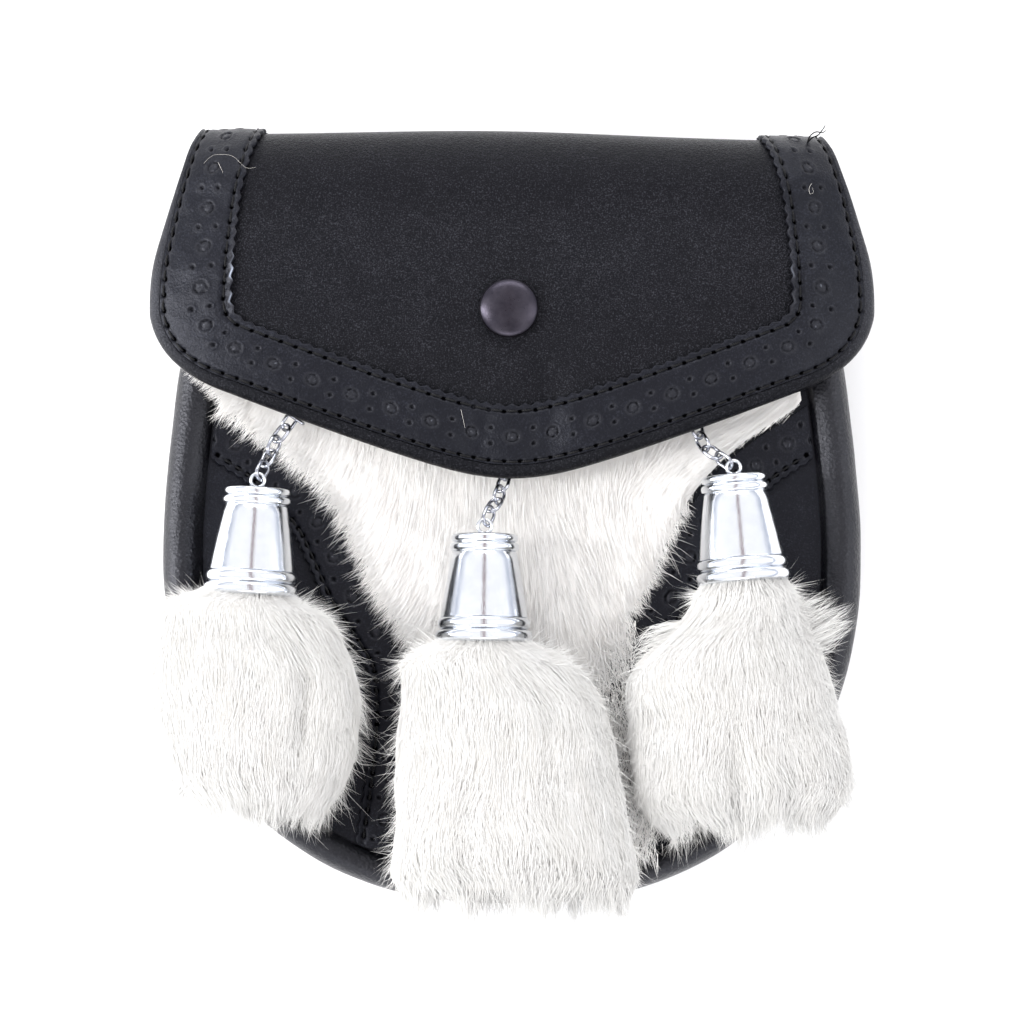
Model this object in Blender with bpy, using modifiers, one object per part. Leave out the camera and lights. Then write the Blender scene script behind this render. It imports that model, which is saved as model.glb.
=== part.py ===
"""A sporran: a leather pouch with a flap, a fur front and three fur tassels in cones.

It lies on its back. X is to the right as the front is seen, Y is towards the top of the
pouch and Z is up, out of the front. Metres. z = 0 is the surface that it lies on.
"""
import math
from collections import namedtuple

import bmesh
import bpy
import numpy as np
from mathutils import Matrix, Vector

# ---------------------------------------------------------------- driving dimensions

GAP = 0.0003                    # between pieces that touch

# Outline of the pouch, seen from the front
BODY_HALF_WIDTH = 0.0873        # at the widest line
WIDEST_Y = -0.0041              # height of the widest line
BODY_DROP = 0.0889              # from the widest line to the bottom
BODY_ROUNDNESS = 2.3            # exponent of the superellipse below the widest line
MOUTH_Y = 0.084                 # the mouth's height
MOUTH_HALF_WIDTH = 0.0750
NARROWING = 1.6                 # exponent of the taper up to the mouth

# Depth of the pouch
MOUTH_DEPTH = 0.026             # height of the rim's crest at the mouth
BOTTOM_DEPTH = 0.038            # height of the rim's crest at the bottom
LEATHER = 0.002                 # the leather's thickness
PANEL_INSET = 0.0045            # of the front and back panels inside the outline
RECESS = 0.0039                 # of the front panel's face below the rim's crest
FLANGE = 0.012                  # width of the gusset's turn-in at the back
RIM_WIDTH = 0.0100              # of the rolled rim at the sides
RIM_WIDTH_BOTTOM = 0.0075       # of the rolled rim at the bottom
SIDE_STATIONS = 4               # along each side, down to the widest line
CURVE_STATIONS = 7              # from the widest line to the bottom

# Flap
FOLD_RISE = 0.0145              # of the fold above the mouth
FLAP_TIP_Y = 0.0140             # the point of the flap
FLAP_CORNER = (0.0855, 0.0445)  # where the flap's side ends and its lower edge starts
FLAP_SLOPE = 0.385              # of the lower edge
FLAP_TIP_BLUNTNESS = 0.00674    # how much the point is rounded off
CORNER_LIFT = 0.0036            # of the lower edge at its corners
CORNER_LIFT_FROM = 0.065
FLAP_HEIGHT = 0.0132            # of the flap's face above the front panel
FLAP_HEIGHT_AT_FOLD = 0.0105
FLAP_LEVEL_BELOW = 0.060        # the flap starts down to its fold above this height
FLAP_DROOP = 0.0105             # of the flap's side edges
DROOP_POWER = 7
LIP_DROOP = 0.001               # of the flap's lower edge
TAIL_HALF_WIDTH = 0.060         # the part of the flap that is sewn to the back
TAIL_END_Y = 0.052
FLAP_EDGE = 0.0034              # rolled edge outside the border
BORDER_WIDTH = 0.0179           # of the border at the flap's sides
BORDER_FOOT = 0.0152            # and along its lower edge
BORDER_THICKNESS = 0.001

# Front
FUR_TOP_Y = 0.066
FUR_PRESSED = 0.0045            # height of the fur under the flap
FUR_LOW = 0.0041                # height of the fur between locks
FUR_LOCK = 0.0012               # how far a lock stands proud of that
FUR_SHOULDER = 0.0033           # height of the fur beside its edge
FUR_SKIN = 0.0012               # height of the fur panel's edge
FUR_ROW = 0.0062                # length of half a lock
FUR_NOTCH = 0.0022              # depth of the notches between locks at the edge
FUR_MARGIN = 0.0008             # between its edge and the bands beside it
FUR_COLUMNS = (0.0, 0.23, 0.46, 0.7, 0.9, 1.0)      # as shares of its half width
FUR_PAST_TIP = 0.004            # the fur is pressed this far past the flap's point
FUR_FOOT_CURVE = 0.6            # share of the rim's curve that the fur's foot follows
SIDE_BAND_WIDTH = 0.0129
SIDE_BAND_THICKNESS = 0.0012
EDGE_STEP = 0.004               # over which the way of the fur's edge is measured

# Press stud
SNAP_AT = (-0.00075, 0.0555)
SNAP_RADIUS = 0.0074
SNAP_RISE = 0.0026
POST_RADIUS = 0.0050

# Strap on the back
LOOP_HALF_WIDTH = 0.032
LOOP_LOW_Y = -0.004
LOOP_HIGH_Y = 0.038
LOOP_THICKNESS = 0.0017

# Cones
CONE_LENGTH = 0.0272
EYE_RADIUS = 0.0017             # to the middle of its wire
EYE_RISE = 0.0018               # of the eye's middle over the cone's top
CONE_STEPS = 18

# Chains
WIRE_RADIUS = 0.00045
LINK_HALF_LENGTH = 0.0027       # to the middle of the wire
LINK_HALF_WIDTH = 0.00175
MAX_PITCH = 0.0042              # of the links, so that their wires clear each other
ANCHOR_WIDTH = 0.0062
ANCHOR_HEIGHT = 0.0036
ANCHOR_BEND = 0.0007            # how far its corners are cut

# Tassels
TASSEL_SIDES = 16
LOCK_RELIEF = 0.13              # of a tassel's lock, as a share of its radius
LOCK_ROWS = 4                   # rows of facets in one lock
LOCK_ROW = 0.0034               # length of one such row
LOCK_HANG = 0.7                 # how far a lock hangs over the next, as a share of a row
RAGGED = 0.0035                 # how far every second lock at the foot reaches down
FOOT_HOLLOW = 0.0015            # depth of the hollow between the locks at the foot
HOLLOW_SHARE = 0.6              # width of that hollow, as a share of the foot's
TUFT_TIP = 0.15                 # thickness of a standing lock's tip, as a share of its root


# ---------------------------------------------------------------- tables

Side = namedtuple("Side", "y half_width")
Bend = namedtuple("Bend", "distance height")

# The gusset's outer face, from its turn-in at the back to its rolled rim. The first bend
# is measured from the outline and from the ground, and the second one's height from the
# rim's crest. The roll's distances are shares of the rim's width.
BACK_BEND = [Bend(0.0040, 0.0), Bend(0.0012, 0.0013), Bend(0.0, 0.0045)]
RIM_BEND = [Bend(0.0, -0.0060), Bend(0.0013, -0.0022)]
RIM_ROLL = [Bend(0.46, 0.0), Bend(0.78, -0.0006), Bend(0.98, -0.0022)]

# The flap's side edge, from the fold down to the lower corner
FLAP_SIDE = [
    Side(0.0985, 0.0771),
    Side(0.0955, 0.0801),
    Side(0.0895, 0.0825),
    Side(0.0775, 0.0866),
    Side(0.0655, 0.0900),
    Side(0.0580, 0.0907),
    Side(0.0505, 0.0896),
    Side(0.0475, 0.0881),
    Side(0.0445, 0.0855),
]

# Where the flap's rows lie round its fold, in degrees from the top towards the front
FOLD_TURNS = (-62, -34, -8, 18, 42, 66)

# The fur panel's edge. Above the second row the rim cuts it off.
FUR_EDGE = [
    Side(0.0660, 0.1050),
    Side(0.0325, 0.0745),
    Side(0.0212, 0.0578),
    Side(0.0058, 0.0440),
    Side(-0.0038, 0.0393),
    Side(-0.0132, 0.0350),
    Side(-0.0220, 0.0290),
    Side(-0.0298, 0.0248),
    Side(-0.0422, 0.0230),
    Side(-0.0572, 0.0237),
    Side(-0.0820, 0.0270),
]

Ring = namedtuple("Ring", "radius drop")

# A cone, turned: its outer side from the top down, then its inner side
CONE_PROFILE = [
    Ring(0.0000, 0.0000),
    Ring(0.0078, 0.0000),
    Ring(0.0083, 0.0010),
    Ring(0.0078, 0.0021),
    Ring(0.0085, 0.0032),
    Ring(0.0081, 0.0044),
    Ring(0.0104, 0.0210),
    Ring(0.0114, 0.0223),
    Ring(0.0109, 0.0238),
    Ring(0.0120, 0.0254),
    Ring(0.0117, 0.0272),
    Ring(0.0108, 0.0272),
    Ring(0.0094, 0.0204),
    Ring(0.0070, 0.0014),
    Ring(0.0000, 0.0014),
]

Cone = namedtuple("Cone", "side x y height tilt")

# Middle of each cone's mouth, its height over the front panel and its tilt in degrees
CONES = [
    Cone("left", -0.0649, -0.01625, 0.0144, -3.4),
    Cone("centre", -0.0070, -0.02775, 0.0179, -0.5),
    Cone("right", 0.0576, -0.0130, 0.0144, 5.0),
]

Stop = namedtuple("Stop", "x y height")

# Where each chain runs from its anchor towards the eye of its cone
CHAIN_ROUTES = {
    "left": [
        Stop(-0.0547, 0.0285, 0.0081),
        Stop(-0.0572, 0.0247, 0.0086),
        Stop(-0.0590, 0.0222, 0.0097),
        Stop(-0.0604, 0.0188, 0.0112),
    ],
    "centre": [
        Stop(-0.0014, 0.0165, 0.0081),
        Stop(-0.0018, 0.0132, 0.0090),
        Stop(-0.0032, 0.0084, 0.0126),
        Stop(-0.0054, 0.0050, 0.0166),
    ],
    "right": [
        Stop(0.0458, 0.0270, 0.0081),
        Stop(0.0464, 0.0240, 0.0086),
        Stop(0.0478, 0.0212, 0.0102),
        Stop(0.0505, 0.0190, 0.0122),
    ],
}

Fur = namedtuple("Fur", "drop left right low high")

# Each tassel's outline below the mouth of its cone: how far down, and how far the fur
# reaches from the cone's axis to the left, to the right, to the back and to the front
TASSELS = {
    "left": [
        Fur(0.0016, 0.0185, 0.0145, 0.0099, 0.0125),
        Fur(0.0042, 0.0222, 0.0195, 0.0099, 0.0145),
        Fur(0.0105, 0.0230, 0.0236, 0.0099, 0.0160),
        Fur(0.0210, 0.0235, 0.0282, 0.0099, 0.0175),
        Fur(0.0300, 0.0228, 0.0288, 0.0099, 0.0178),
        Fur(0.0400, 0.0190, 0.0280, 0.0099, 0.0165),
        Fur(0.0480, 0.0145, 0.0250, 0.0099, 0.0130),
        Fur(0.0545, 0.0070, 0.0195, 0.0099, 0.0060),
    ],
    "centre": [
        Fur(0.0016, 0.0150, 0.0150, 0.0118, 0.0125),
        Fur(0.0042, 0.0195, 0.0205, 0.0118, 0.0145),
        Fur(0.0120, 0.0196, 0.0282, 0.0118, 0.0165),
        Fur(0.0215, 0.0208, 0.0315, 0.0118, 0.0180),
        Fur(0.0330, 0.0212, 0.0338, 0.0118, 0.0185),
        Fur(0.0480, 0.0224, 0.0368, 0.0118, 0.0175),
        Fur(0.0590, 0.0236, 0.0384, 0.0118, 0.0140),
        Fur(0.0645, 0.0195, 0.0355, 0.0118, 0.0070),
    ],
    "right": [
        Fur(0.0016, 0.0122, 0.0116, 0.0099, 0.0125),
        Fur(0.0085, 0.0145, 0.0142, 0.0099, 0.0145),
        Fur(0.0130, 0.0222, 0.0156, 0.0099, 0.0160),
        Fur(0.0200, 0.0300, 0.0180, 0.0099, 0.0175),
        Fur(0.0300, 0.0314, 0.0196, 0.0099, 0.0180),
        Fur(0.0440, 0.0316, 0.0222, 0.0099, 0.0170),
        Fur(0.0540, 0.0308, 0.0220, 0.0099, 0.0145),
        Fur(0.0605, 0.0240, 0.0150, 0.0099, 0.0070),
    ],
}

# The neck of a tassel, which fills the mouth of its cone
NECK = [Ring(0.0088, -0.0060), Ring(0.0102, -0.0004), Ring(0.0108, 0.0008)]

Tuft = namedtuple("Tuft", "root_x root_drop tip_x tip_drop out radius")

# Locks that stand out of a tassel, from root to tip, measured from the cone's axis and
# its mouth. out is how far in front of the axis the lock lies.
TUFTS = {
    "left": [
        Tuft(-0.0110, 0.0400, -0.0185, 0.0545, -0.0020, 0.0075),
        Tuft(0.0060, 0.0440, 0.0050, 0.0600, 0.0010, 0.0085),
        Tuft(0.0150, 0.0400, 0.0215, 0.0565, -0.0010, 0.0070),
        Tuft(0.0190, 0.0180, 0.0305, 0.0330, 0.0030, 0.0065),
        Tuft(-0.0140, 0.0140, -0.0222, 0.0260, 0.0040, 0.0065),
    ],
    "centre": [
        Tuft(-0.0130, 0.0540, -0.0205, 0.0690, -0.0030, 0.0080),
        Tuft(-0.0020, 0.0560, -0.0040, 0.0706, -0.0010, 0.0080),
        Tuft(0.0130, 0.0560, 0.0155, 0.0702, 0.0000, 0.0085),
        Tuft(0.0250, 0.0520, 0.0360, 0.0690, -0.0030, 0.0080),
        Tuft(0.0200, 0.0120, 0.0295, 0.0225, 0.0030, 0.0065),
        Tuft(-0.0150, 0.0280, -0.0240, 0.0420, 0.0050, 0.0065),
    ],
    "right": [
        Tuft(0.0110, 0.0140, 0.0272, 0.0022, 0.0020, 0.0065),
        Tuft(-0.0180, 0.0460, -0.0265, 0.0610, -0.0020, 0.0080),
        Tuft(-0.0050, 0.0520, -0.0070, 0.0675, 0.0000, 0.0085),
        Tuft(0.0080, 0.0500, 0.0110, 0.0665, 0.0000, 0.0075),
        Tuft(0.0150, 0.0440, 0.0225, 0.0590, -0.0020, 0.0065),
        Tuft(-0.0180, 0.0120, -0.0290, 0.0160, 0.0020, 0.0060),
    ],
}

Look = namedtuple("Look", "colour roughness metallic")

LOOKS = {
    "leather": Look((0.012, 0.012, 0.014), 0.45, 0.0),
    "border_leather": Look((0.016, 0.017, 0.021), 0.40, 0.0),
    "fur": Look((0.86, 0.84, 0.80), 0.90, 0.0),
    "chrome": Look((0.85, 0.86, 0.88), 0.08, 1.0),
    "gunmetal": Look((0.10, 0.09, 0.10), 0.30, 1.0),
}


# ---------------------------------------------------------------- scene and helpers

for old in list(bpy.data.objects):
    bpy.data.objects.remove(old, do_unlink=True)

parts = bpy.data.collections.new("sporran_pouch")
bpy.context.scene.collection.children.link(parts)
cutters = bpy.data.collections.new("cutters")
bpy.context.scene.collection.children.link(cutters)

materials = {}


def material(look):
    """The Principled material of this name, made once."""
    if look not in materials:
        made = bpy.data.materials.new(look)
        made.use_nodes = True
        shader = made.node_tree.nodes["Principled BSDF"]
        shader.inputs["Base Color"].default_value = (*LOOKS[look].colour, 1.0)
        shader.inputs["Roughness"].default_value = LOOKS[look].roughness
        shader.inputs["Metallic"].default_value = LOOKS[look].metallic
        materials[look] = made
    return materials[look]


def place(name, data, look):
    """A new object of the model, from a mesh or a curve, with its own material."""
    piece = bpy.data.objects.new(name, data)
    if not data.materials:
        data.materials.append(material(look))
    parts.objects.link(piece)
    return piece


def mesh_from(name, build):
    """A mesh made by build(bm)."""
    bm = bmesh.new()
    build(bm)
    made = bpy.data.meshes.new(name)
    bm.to_mesh(made)
    bm.free()
    return made


def shell(name, rows, thickness, look, keep=lambda i, j: True):
    """A sheet of leather. The rows of points are its outer face, and it grows inwards.

    A face's outer side is the row's way crossed with the way along a row.
    """

    def build(bm):
        made = {}

        def corner(i, j):
            if (i, j) not in made:
                made[i, j] = bm.verts.new(rows[i][j])
            return made[i, j]

        for i in range(len(rows) - 1):
            for j in range(len(rows[0]) - 1):
                if keep(i, j):
                    ring = [(i, j), (i + 1, j), (i + 1, j + 1), (i, j + 1)]
                    bm.faces.new([corner(*at) for at in ring])

    data = mesh_from(name, build)
    data.shade_smooth()
    piece = place(name, data, look)
    solid = piece.modifiers.new("thickness", "SOLIDIFY")
    solid.thickness = thickness
    solid.offset = -1.0
    solid.use_even_offset = True
    return piece


def loft(name, rings):
    """A closed mesh through rings of as many points each, with both ends capped."""

    def build(bm):
        loops = [[bm.verts.new(point) for point in ring] for ring in rings]
        count = len(rings[0])
        for lower, upper in zip(loops, loops[1:]):
            for k in range(count):
                after = (k + 1) % count
                bm.faces.new([lower[k], lower[after], upper[after], upper[k]])
        for end in (loops[0], loops[-1]):
            bm.faces.new(end)
        bmesh.ops.recalc_face_normals(bm, faces=bm.faces)

    data = mesh_from(name, build)
    data.shade_smooth()
    data.set_sharp_from_angle(angle=math.radians(60))
    return data


def plate(name, outline, thickness, look):
    """A flat piece with this outline, its mid-plane at z = 0 of its own frame."""
    curve = bpy.data.curves.new(name, "CURVE")
    curve.dimensions = "2D"
    curve.fill_mode = "BOTH"
    curve.extrude = thickness / 2
    spline = curve.splines.new("POLY")
    spline.points.add(len(outline) - 1)
    for point, (x, y) in zip(spline.points, outline):
        point.co = (x, y, 0.0, 1.0)
    spline.use_cyclic_u = True
    return place(name, curve, look)


def wire_ring(name, points, radius):
    """A closed wire of six sides."""
    curve = bpy.data.curves.new(name, "CURVE")
    curve.dimensions = "3D"
    curve.bevel_depth = radius
    curve.bevel_resolution = 1
    spline = curve.splines.new("POLY")
    spline.points.add(len(points) - 1)
    for point, at in zip(spline.points, points):
        point.co = (*at, 1.0)
    spline.use_cyclic_u = True
    return curve


def turned(name, profile, steps, look):
    """A solid turned about Z from a profile of (radius, z) that starts and ends on Z."""

    def build(bm):
        points = [bm.verts.new((radius, 0.0, z)) for radius, z in profile]
        for first, second in zip(points, points[1:]):
            bm.edges.new((first, second))

    piece = place(name, mesh_from(name, build), look)
    screw = piece.modifiers.new("turn", "SCREW")
    screw.axis = "Z"
    screw.steps = steps
    screw.render_steps = steps
    screw.use_merge_vertices = True
    screw.merge_threshold = 0.00005
    return piece


def evaluated_mesh(piece, name):
    """The mesh that the modifiers leave, as a mesh of its own."""
    bpy.context.view_layer.update()
    shown = piece.evaluated_get(bpy.context.evaluated_depsgraph_get())
    made = bpy.data.meshes.new_from_object(shown)
    made.name = name
    return made


def between(table, y):
    """The half width at y, read off a table of Side rows."""
    ys = [row.y for row in reversed(table)]
    widths = [row.half_width for row in reversed(table)]
    return float(np.interp(y, ys, widths))


# ---------------------------------------------------------------- shape of the pouch

DEPTH_SLOPE = (BOTTOM_DEPTH - MOUTH_DEPTH) / (MOUTH_Y - WIDEST_Y + BODY_DROP)
PANEL_TILT = math.atan(DEPTH_SLOPE)


def crest(y):
    """Height of the rim's crest."""
    return MOUTH_DEPTH + DEPTH_SLOPE * (MOUTH_Y - y)


def on_front(x, y, height):
    """A point over the front panel's face, for what is seen at x, y."""
    return Vector((x, y, crest(y) - RECESS + height))


def side_half_width(y):
    """Half width of the pouch from the widest line up."""
    rise = (y - WIDEST_Y) / (MOUTH_Y - WIDEST_Y)
    return BODY_HALF_WIDTH - (BODY_HALF_WIDTH - MOUTH_HALF_WIDTH) * rise**NARROWING


def half_outline():
    """Points of the pouch's right half, from the mouth to the bottom."""
    points = []
    for y in np.linspace(MOUTH_Y, WIDEST_Y, SIDE_STATIONS + 1)[:-1]:
        points.append(Vector((side_half_width(y), y)))
    for turn in np.linspace(0.0, math.pi / 2, CURVE_STATIONS + 1):
        across = max(math.cos(turn), 0.0) ** (2 / BODY_ROUNDNESS)
        down = math.sin(turn) ** (2 / BODY_ROUNDNESS)
        points.append(Vector((BODY_HALF_WIDTH * across, WIDEST_Y - BODY_DROP * down)))
    return points


def outline():
    """Points of the pouch's outline and their inward ways, from the left of the mouth
    round the bottom to the right."""
    right = half_outline()
    points = [Vector((-at.x, at.y)) for at in right] + right[-2::-1]
    ways = []
    for k, at in enumerate(points):
        before = points[max(k - 1, 0)]
        after = points[min(k + 1, len(points) - 1)]
        along = (after - before).normalized()
        inward = Vector((-along.y, along.x))
        if k in (0, len(points) - 1):
            inward = Vector((math.copysign(1.0, -at.x), 0.0))
        ways.append(inward)
    return points, ways


OUTLINE, INWARD = outline()


def inset(distance):
    """The outline, moved inwards."""
    return [at + way * distance for at, way in zip(OUTLINE, INWARD)]


def rim_width(y):
    """Width of the rolled rim, less at the bottom."""
    low = min(max((WIDEST_Y - y) / BODY_DROP, 0.0), 1.0)
    return RIM_WIDTH + (RIM_WIDTH_BOTTOM - RIM_WIDTH) * low**2


def rim_inner_x(y):
    """How far from the middle the rim's inner edge is."""
    edge = [at + way * rim_width(at.y) for at, way in zip(OUTLINE, INWARD)]
    right = [at for at in edge if at.x > 0]
    return float(np.interp(y, [at.y for at in right], [at.x for at in right]))


def rim_inner_y(x):
    """The height of the rim's inner edge in its lower part."""
    edge = [at + way * rim_width(at.y) for at, way in zip(OUTLINE, INWARD)]
    low = [at for at in edge if at.y < WIDEST_Y - BODY_DROP / 3]
    return float(np.interp(x, [at.x for at in low], [at.y for at in low]))


def gusset_profile(y):
    """The gusset's outer face at one station: distance from the outline, height."""
    top = crest(y)
    width = rim_width(y)
    points = [Bend(FLANGE, 0.0), *BACK_BEND]
    points += [Bend(bend.distance, top + bend.height) for bend in RIM_BEND]
    points += [Bend(bend.distance * width, top + bend.height) for bend in RIM_ROLL]
    return points + [Bend(width, top - RECESS + GAP)]


def make_gusset():
    rows = []
    for at, way in zip(OUTLINE, INWARD):
        row = []
        for distance, z in gusset_profile(at.y):
            spot = at + way * distance
            row.append((spot.x, spot.y, z))
        rows.append(row)
    shell("gusset", rows, LEATHER, "leather")


def make_panels():
    back = plate("back_panel", inset(PANEL_INSET), LEATHER, "leather")
    back.location.z = LEATHER + GAP + LEATHER / 2

    stretch = 1 / math.cos(PANEL_TILT)
    front = plate(
        "front_panel",
        [(at.x, at.y * stretch) for at in inset(PANEL_INSET)],
        LEATHER,
        "leather",
    )
    middle = on_front(0.0, 0.0, -GAP * 0.5) - Vector((0.0, 0.0, LEATHER / 2 * stretch))
    front.location = middle
    front.rotation_euler.x = -PANEL_TILT


# ---------------------------------------------------------------- fur on the front


def fur_edge(y):
    """Half width of the fur panel, which stops short of the rim."""
    return min(between(FUR_EDGE, y) - FUR_MARGIN, rim_inner_x(y) - 2 * GAP)


def make_fur_panel():
    """A loft of cross sections. Locks are facets that stand proud row by row, and
    every second row is drawn in at the edge."""
    across = [-u for u in reversed(FUR_COLUMNS[1:])] + list(FUR_COLUMNS)
    count = round((FUR_TOP_Y - rim_inner_y(0.0)) / FUR_ROW)
    foot_y = rim_inner_y(between(FUR_EDGE, FUR_EDGE[-1].y)) + 4 * GAP
    rings = []
    for i, y in enumerate(np.linspace(FUR_TOP_Y, foot_y, count + 1)):
        half = fur_edge(y) - (i % 2) * FUR_NOTCH
        pressed = y > FLAP_TIP_Y - FUR_PAST_TIP
        dip = FUR_FOOT_CURVE * (foot_y - rim_inner_y(0.0)) if i == count else 0.0
        ring = [on_front(half, y, GAP), on_front(-half, y, GAP)]
        for j, u in enumerate(across):
            height = FUR_LOW + FUR_LOCK * ((i + 2 * j) % 3) / 2
            if pressed:
                height = FUR_PRESSED
            if abs(u) == FUR_COLUMNS[-1]:
                height = FUR_SKIN
            elif abs(u) == FUR_COLUMNS[-2]:
                height = FUR_SHOULDER
            ring.append(on_front(half * u, y - dip * (1 - u * u), height))
        rings.append(ring)
    place("fur_panel", loft("fur_panel", rings), "fur")


def make_side_bands():
    """The brogued bands that edge the fur, on the front panel."""
    ys = [row.y for row in FUR_EDGE[1:]]
    for side, sign in (("left", -1), ("right", 1)):
        rows = []
        for y in ys:
            here = Vector((between(FUR_EDGE, y), y))
            above = Vector((between(FUR_EDGE, y + EDGE_STEP), y + EDGE_STEP))
            below = Vector((between(FUR_EDGE, y - EDGE_STEP), y - EDGE_STEP))
            along = (below - above).normalized()
            outward = Vector((-along.y, along.x))
            row = []
            for distance in (2 * GAP, SIDE_BAND_WIDTH / 2, SIDE_BAND_WIDTH):
                spot = here + outward * distance
                spot.x = min(spot.x, rim_inner_x(spot.y) - 2 * GAP)
                spot.y = max(spot.y, rim_inner_y(spot.x) + 2 * GAP)
                height = GAP + SIDE_BAND_THICKNESS
                row.append(on_front(sign * spot.x, spot.y, height))
            rows.append(row if sign > 0 else row[::-1])
        shell(f"side_band_{side}", rows, SIDE_BAND_THICKNESS, "border_leather")


# ---------------------------------------------------------------- flap


def flap_low_y(x):
    """The flap's lower edge: two slopes with a blunt point, lifted at the corners."""
    run = math.hypot(FLAP_SLOPE * x, FLAP_TIP_BLUNTNESS) - FLAP_TIP_BLUNTNESS
    past = max(abs(x) - CORNER_LIFT_FROM, 0.0) / (FLAP_CORNER[0] - CORNER_LIFT_FROM)
    return FLAP_TIP_Y + run + CORNER_LIFT * past**2


def flap_face(x, y, half):
    """Height of the flap's outer face on the front, which droops at its sides."""
    rise = max(y - FLAP_LEVEL_BELOW, 0.0) / (MOUTH_Y - FLAP_LEVEL_BELOW)
    height = FLAP_HEIGHT + (FLAP_HEIGHT_AT_FOLD - FLAP_HEIGHT) * rise**2
    droop = FLAP_DROOP * abs(x / half) ** DROOP_POWER
    return on_front(x, y, height - droop).z


def flap_columns(half):
    """Places across the flap, from left to right: its edge, its border, its middle."""
    inner = half - FLAP_EDGE - BORDER_WIDTH
    right = [inner * share for share in (0.1, 0.25, 0.5, 0.75, 1.0)]
    right += [half - FLAP_EDGE - BORDER_WIDTH / 2, half - FLAP_EDGE, half]
    return [-x for x in reversed(right)] + [0.0] + right


BORDER_COLUMNS = (1, 2, 13, 14)        # strips of the flap that the border covers


def flap_rows():
    """Rows of the flap's outer face, from the end of its tail over the fold and down
    the front, and the numbers of the rows where the border and its foot start."""
    rows = []
    for y in (TAIL_END_Y, 0.070, MOUTH_Y + 2 * GAP):
        rows.append([(x, y, 0.0) for x in flap_columns(TAIL_HALF_WIDTH)])

    border_row = len(rows)
    for degrees in FOLD_TURNS:
        turn = math.radians(degrees)
        y = MOUTH_Y + FOLD_RISE * math.cos(turn)
        half = between(FLAP_SIDE, y)
        if degrees < 0:
            top = between(FLAP_SIDE, MOUTH_Y + FOLD_RISE)
            half = top + (TAIL_HALF_WIDTH - top) * (degrees / 90) ** 2
        row = []
        for x in flap_columns(half):
            front = flap_face(x, MOUTH_Y, half)
            row.append((x, y, front / 2 * (1 + math.sin(turn))))
        rows.append(row)

    band = (FLAP_EDGE + BORDER_FOOT) * math.hypot(1.0, FLAP_SLOPE)
    lip = FLAP_EDGE * math.hypot(1.0, FLAP_SLOPE)
    corner_x, corner_y = FLAP_CORNER
    foot_row = len(rows) + 4
    for share, above in ((0.0, band), (0.25, band), (0.5, band), (0.75, band),
                         (1.0, band), (1.0, band / 2), (1.0, lip), (1.0, 0.0)):
        side_y = MOUTH_Y + (corner_y + above - MOUTH_Y) * share
        half = between(FLAP_SIDE, side_y)
        row = []
        for x in flap_columns(half):
            low = flap_low_y(x * corner_x / half) + above
            y = MOUTH_Y + (low - MOUTH_Y) * share
            droop = LIP_DROOP if above == 0.0 else 0.0
            row.append((x, y, flap_face(x, y, half) - droop))
        rows.append(row)
    return rows, border_row, foot_row


def lifted(rows, distance):
    """The same rows, moved off their surface along its normals."""
    grid = np.array(rows)
    normals = np.cross(np.gradient(grid, axis=0), np.gradient(grid, axis=1))
    normals /= np.linalg.norm(normals, axis=2, keepdims=True)
    return (grid + normals * distance).tolist()


def make_flap():
    rows, border_row, foot_row = flap_rows()
    shell("flap", rows, LEATHER, "leather")

    def covered(i, j):
        if i < border_row or i == len(rows) - 2 or j in (0, len(rows[0]) - 2):
            return False
        return i >= foot_row or j in BORDER_COLUMNS

    raised = lifted(rows, GAP + BORDER_THICKNESS)
    shell("flap_border", raised, BORDER_THICKNESS, "border_leather", keep=covered)


def make_snap():
    x, y = SNAP_AT
    dome = []
    for turn in np.linspace(90, 8, 6):
        turn = math.radians(turn)
        dome.append((SNAP_RADIUS * math.cos(turn), SNAP_RISE * math.sin(turn)))
    dome[0] = (0.0, SNAP_RISE)
    cap = turned("snap_cap", dome + [(SNAP_RADIUS, 0.0), (0.0, 0.0)], 20, "gunmetal")
    cap.location = (x, y, flap_face(x, y, BODY_HALF_WIDTH) + 2 * GAP)
    cap.rotation_euler.x = -PANEL_TILT

    room = FLAP_HEIGHT - LEATHER - FUR_PRESSED - 4 * GAP
    post = turned(
        "snap_post",
        [(0.0, room), (POST_RADIUS, room), (POST_RADIUS, 0.0), (0.0, 0.0)],
        12,
        "gunmetal",
    )
    post.location = on_front(x, y, FUR_PRESSED + 2 * GAP)
    post.rotation_euler.x = -PANEL_TILT


def make_belt_loop():
    """A strap across the back. Its ends are raised to the back panel, where it is sewn."""
    sewn = 0.006
    ends = LEATHER - LOOP_THICKNESS
    profile = [
        (LOOP_LOW_Y, ends),
        (LOOP_LOW_Y + sewn, ends),
        (LOOP_LOW_Y + 1.6 * sewn, 0.0),
        (LOOP_HIGH_Y - 1.6 * sewn, 0.0),
        (LOOP_HIGH_Y - sewn, ends),
        (LOOP_HIGH_Y, ends),
    ]
    rows = [[(x, y, z) for x in (-LOOP_HALF_WIDTH, LOOP_HALF_WIDTH)] for y, z in profile]
    shell("belt_loop", rows, LOOP_THICKNESS, "leather")


# ---------------------------------------------------------------- cones and tassels


def cone_frame(cone):
    """Frame of a cone: its origin in the mouth, +Z along the axis to its top and +Y out
    of the sporran's front."""
    tilt = Matrix.Rotation(-PANEL_TILT, 4, "X") @ Matrix.Rotation(
        math.radians(cone.tilt), 4, "Z"
    )
    upright = Matrix(((-1, 0, 0, 0), (0, 0, 1, 0), (0, 1, 0, 0), (0, 0, 0, 1)))
    spot = on_front(cone.x, cone.y, cone.height)
    return Matrix.Translation(spot) @ tilt @ upright


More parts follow.
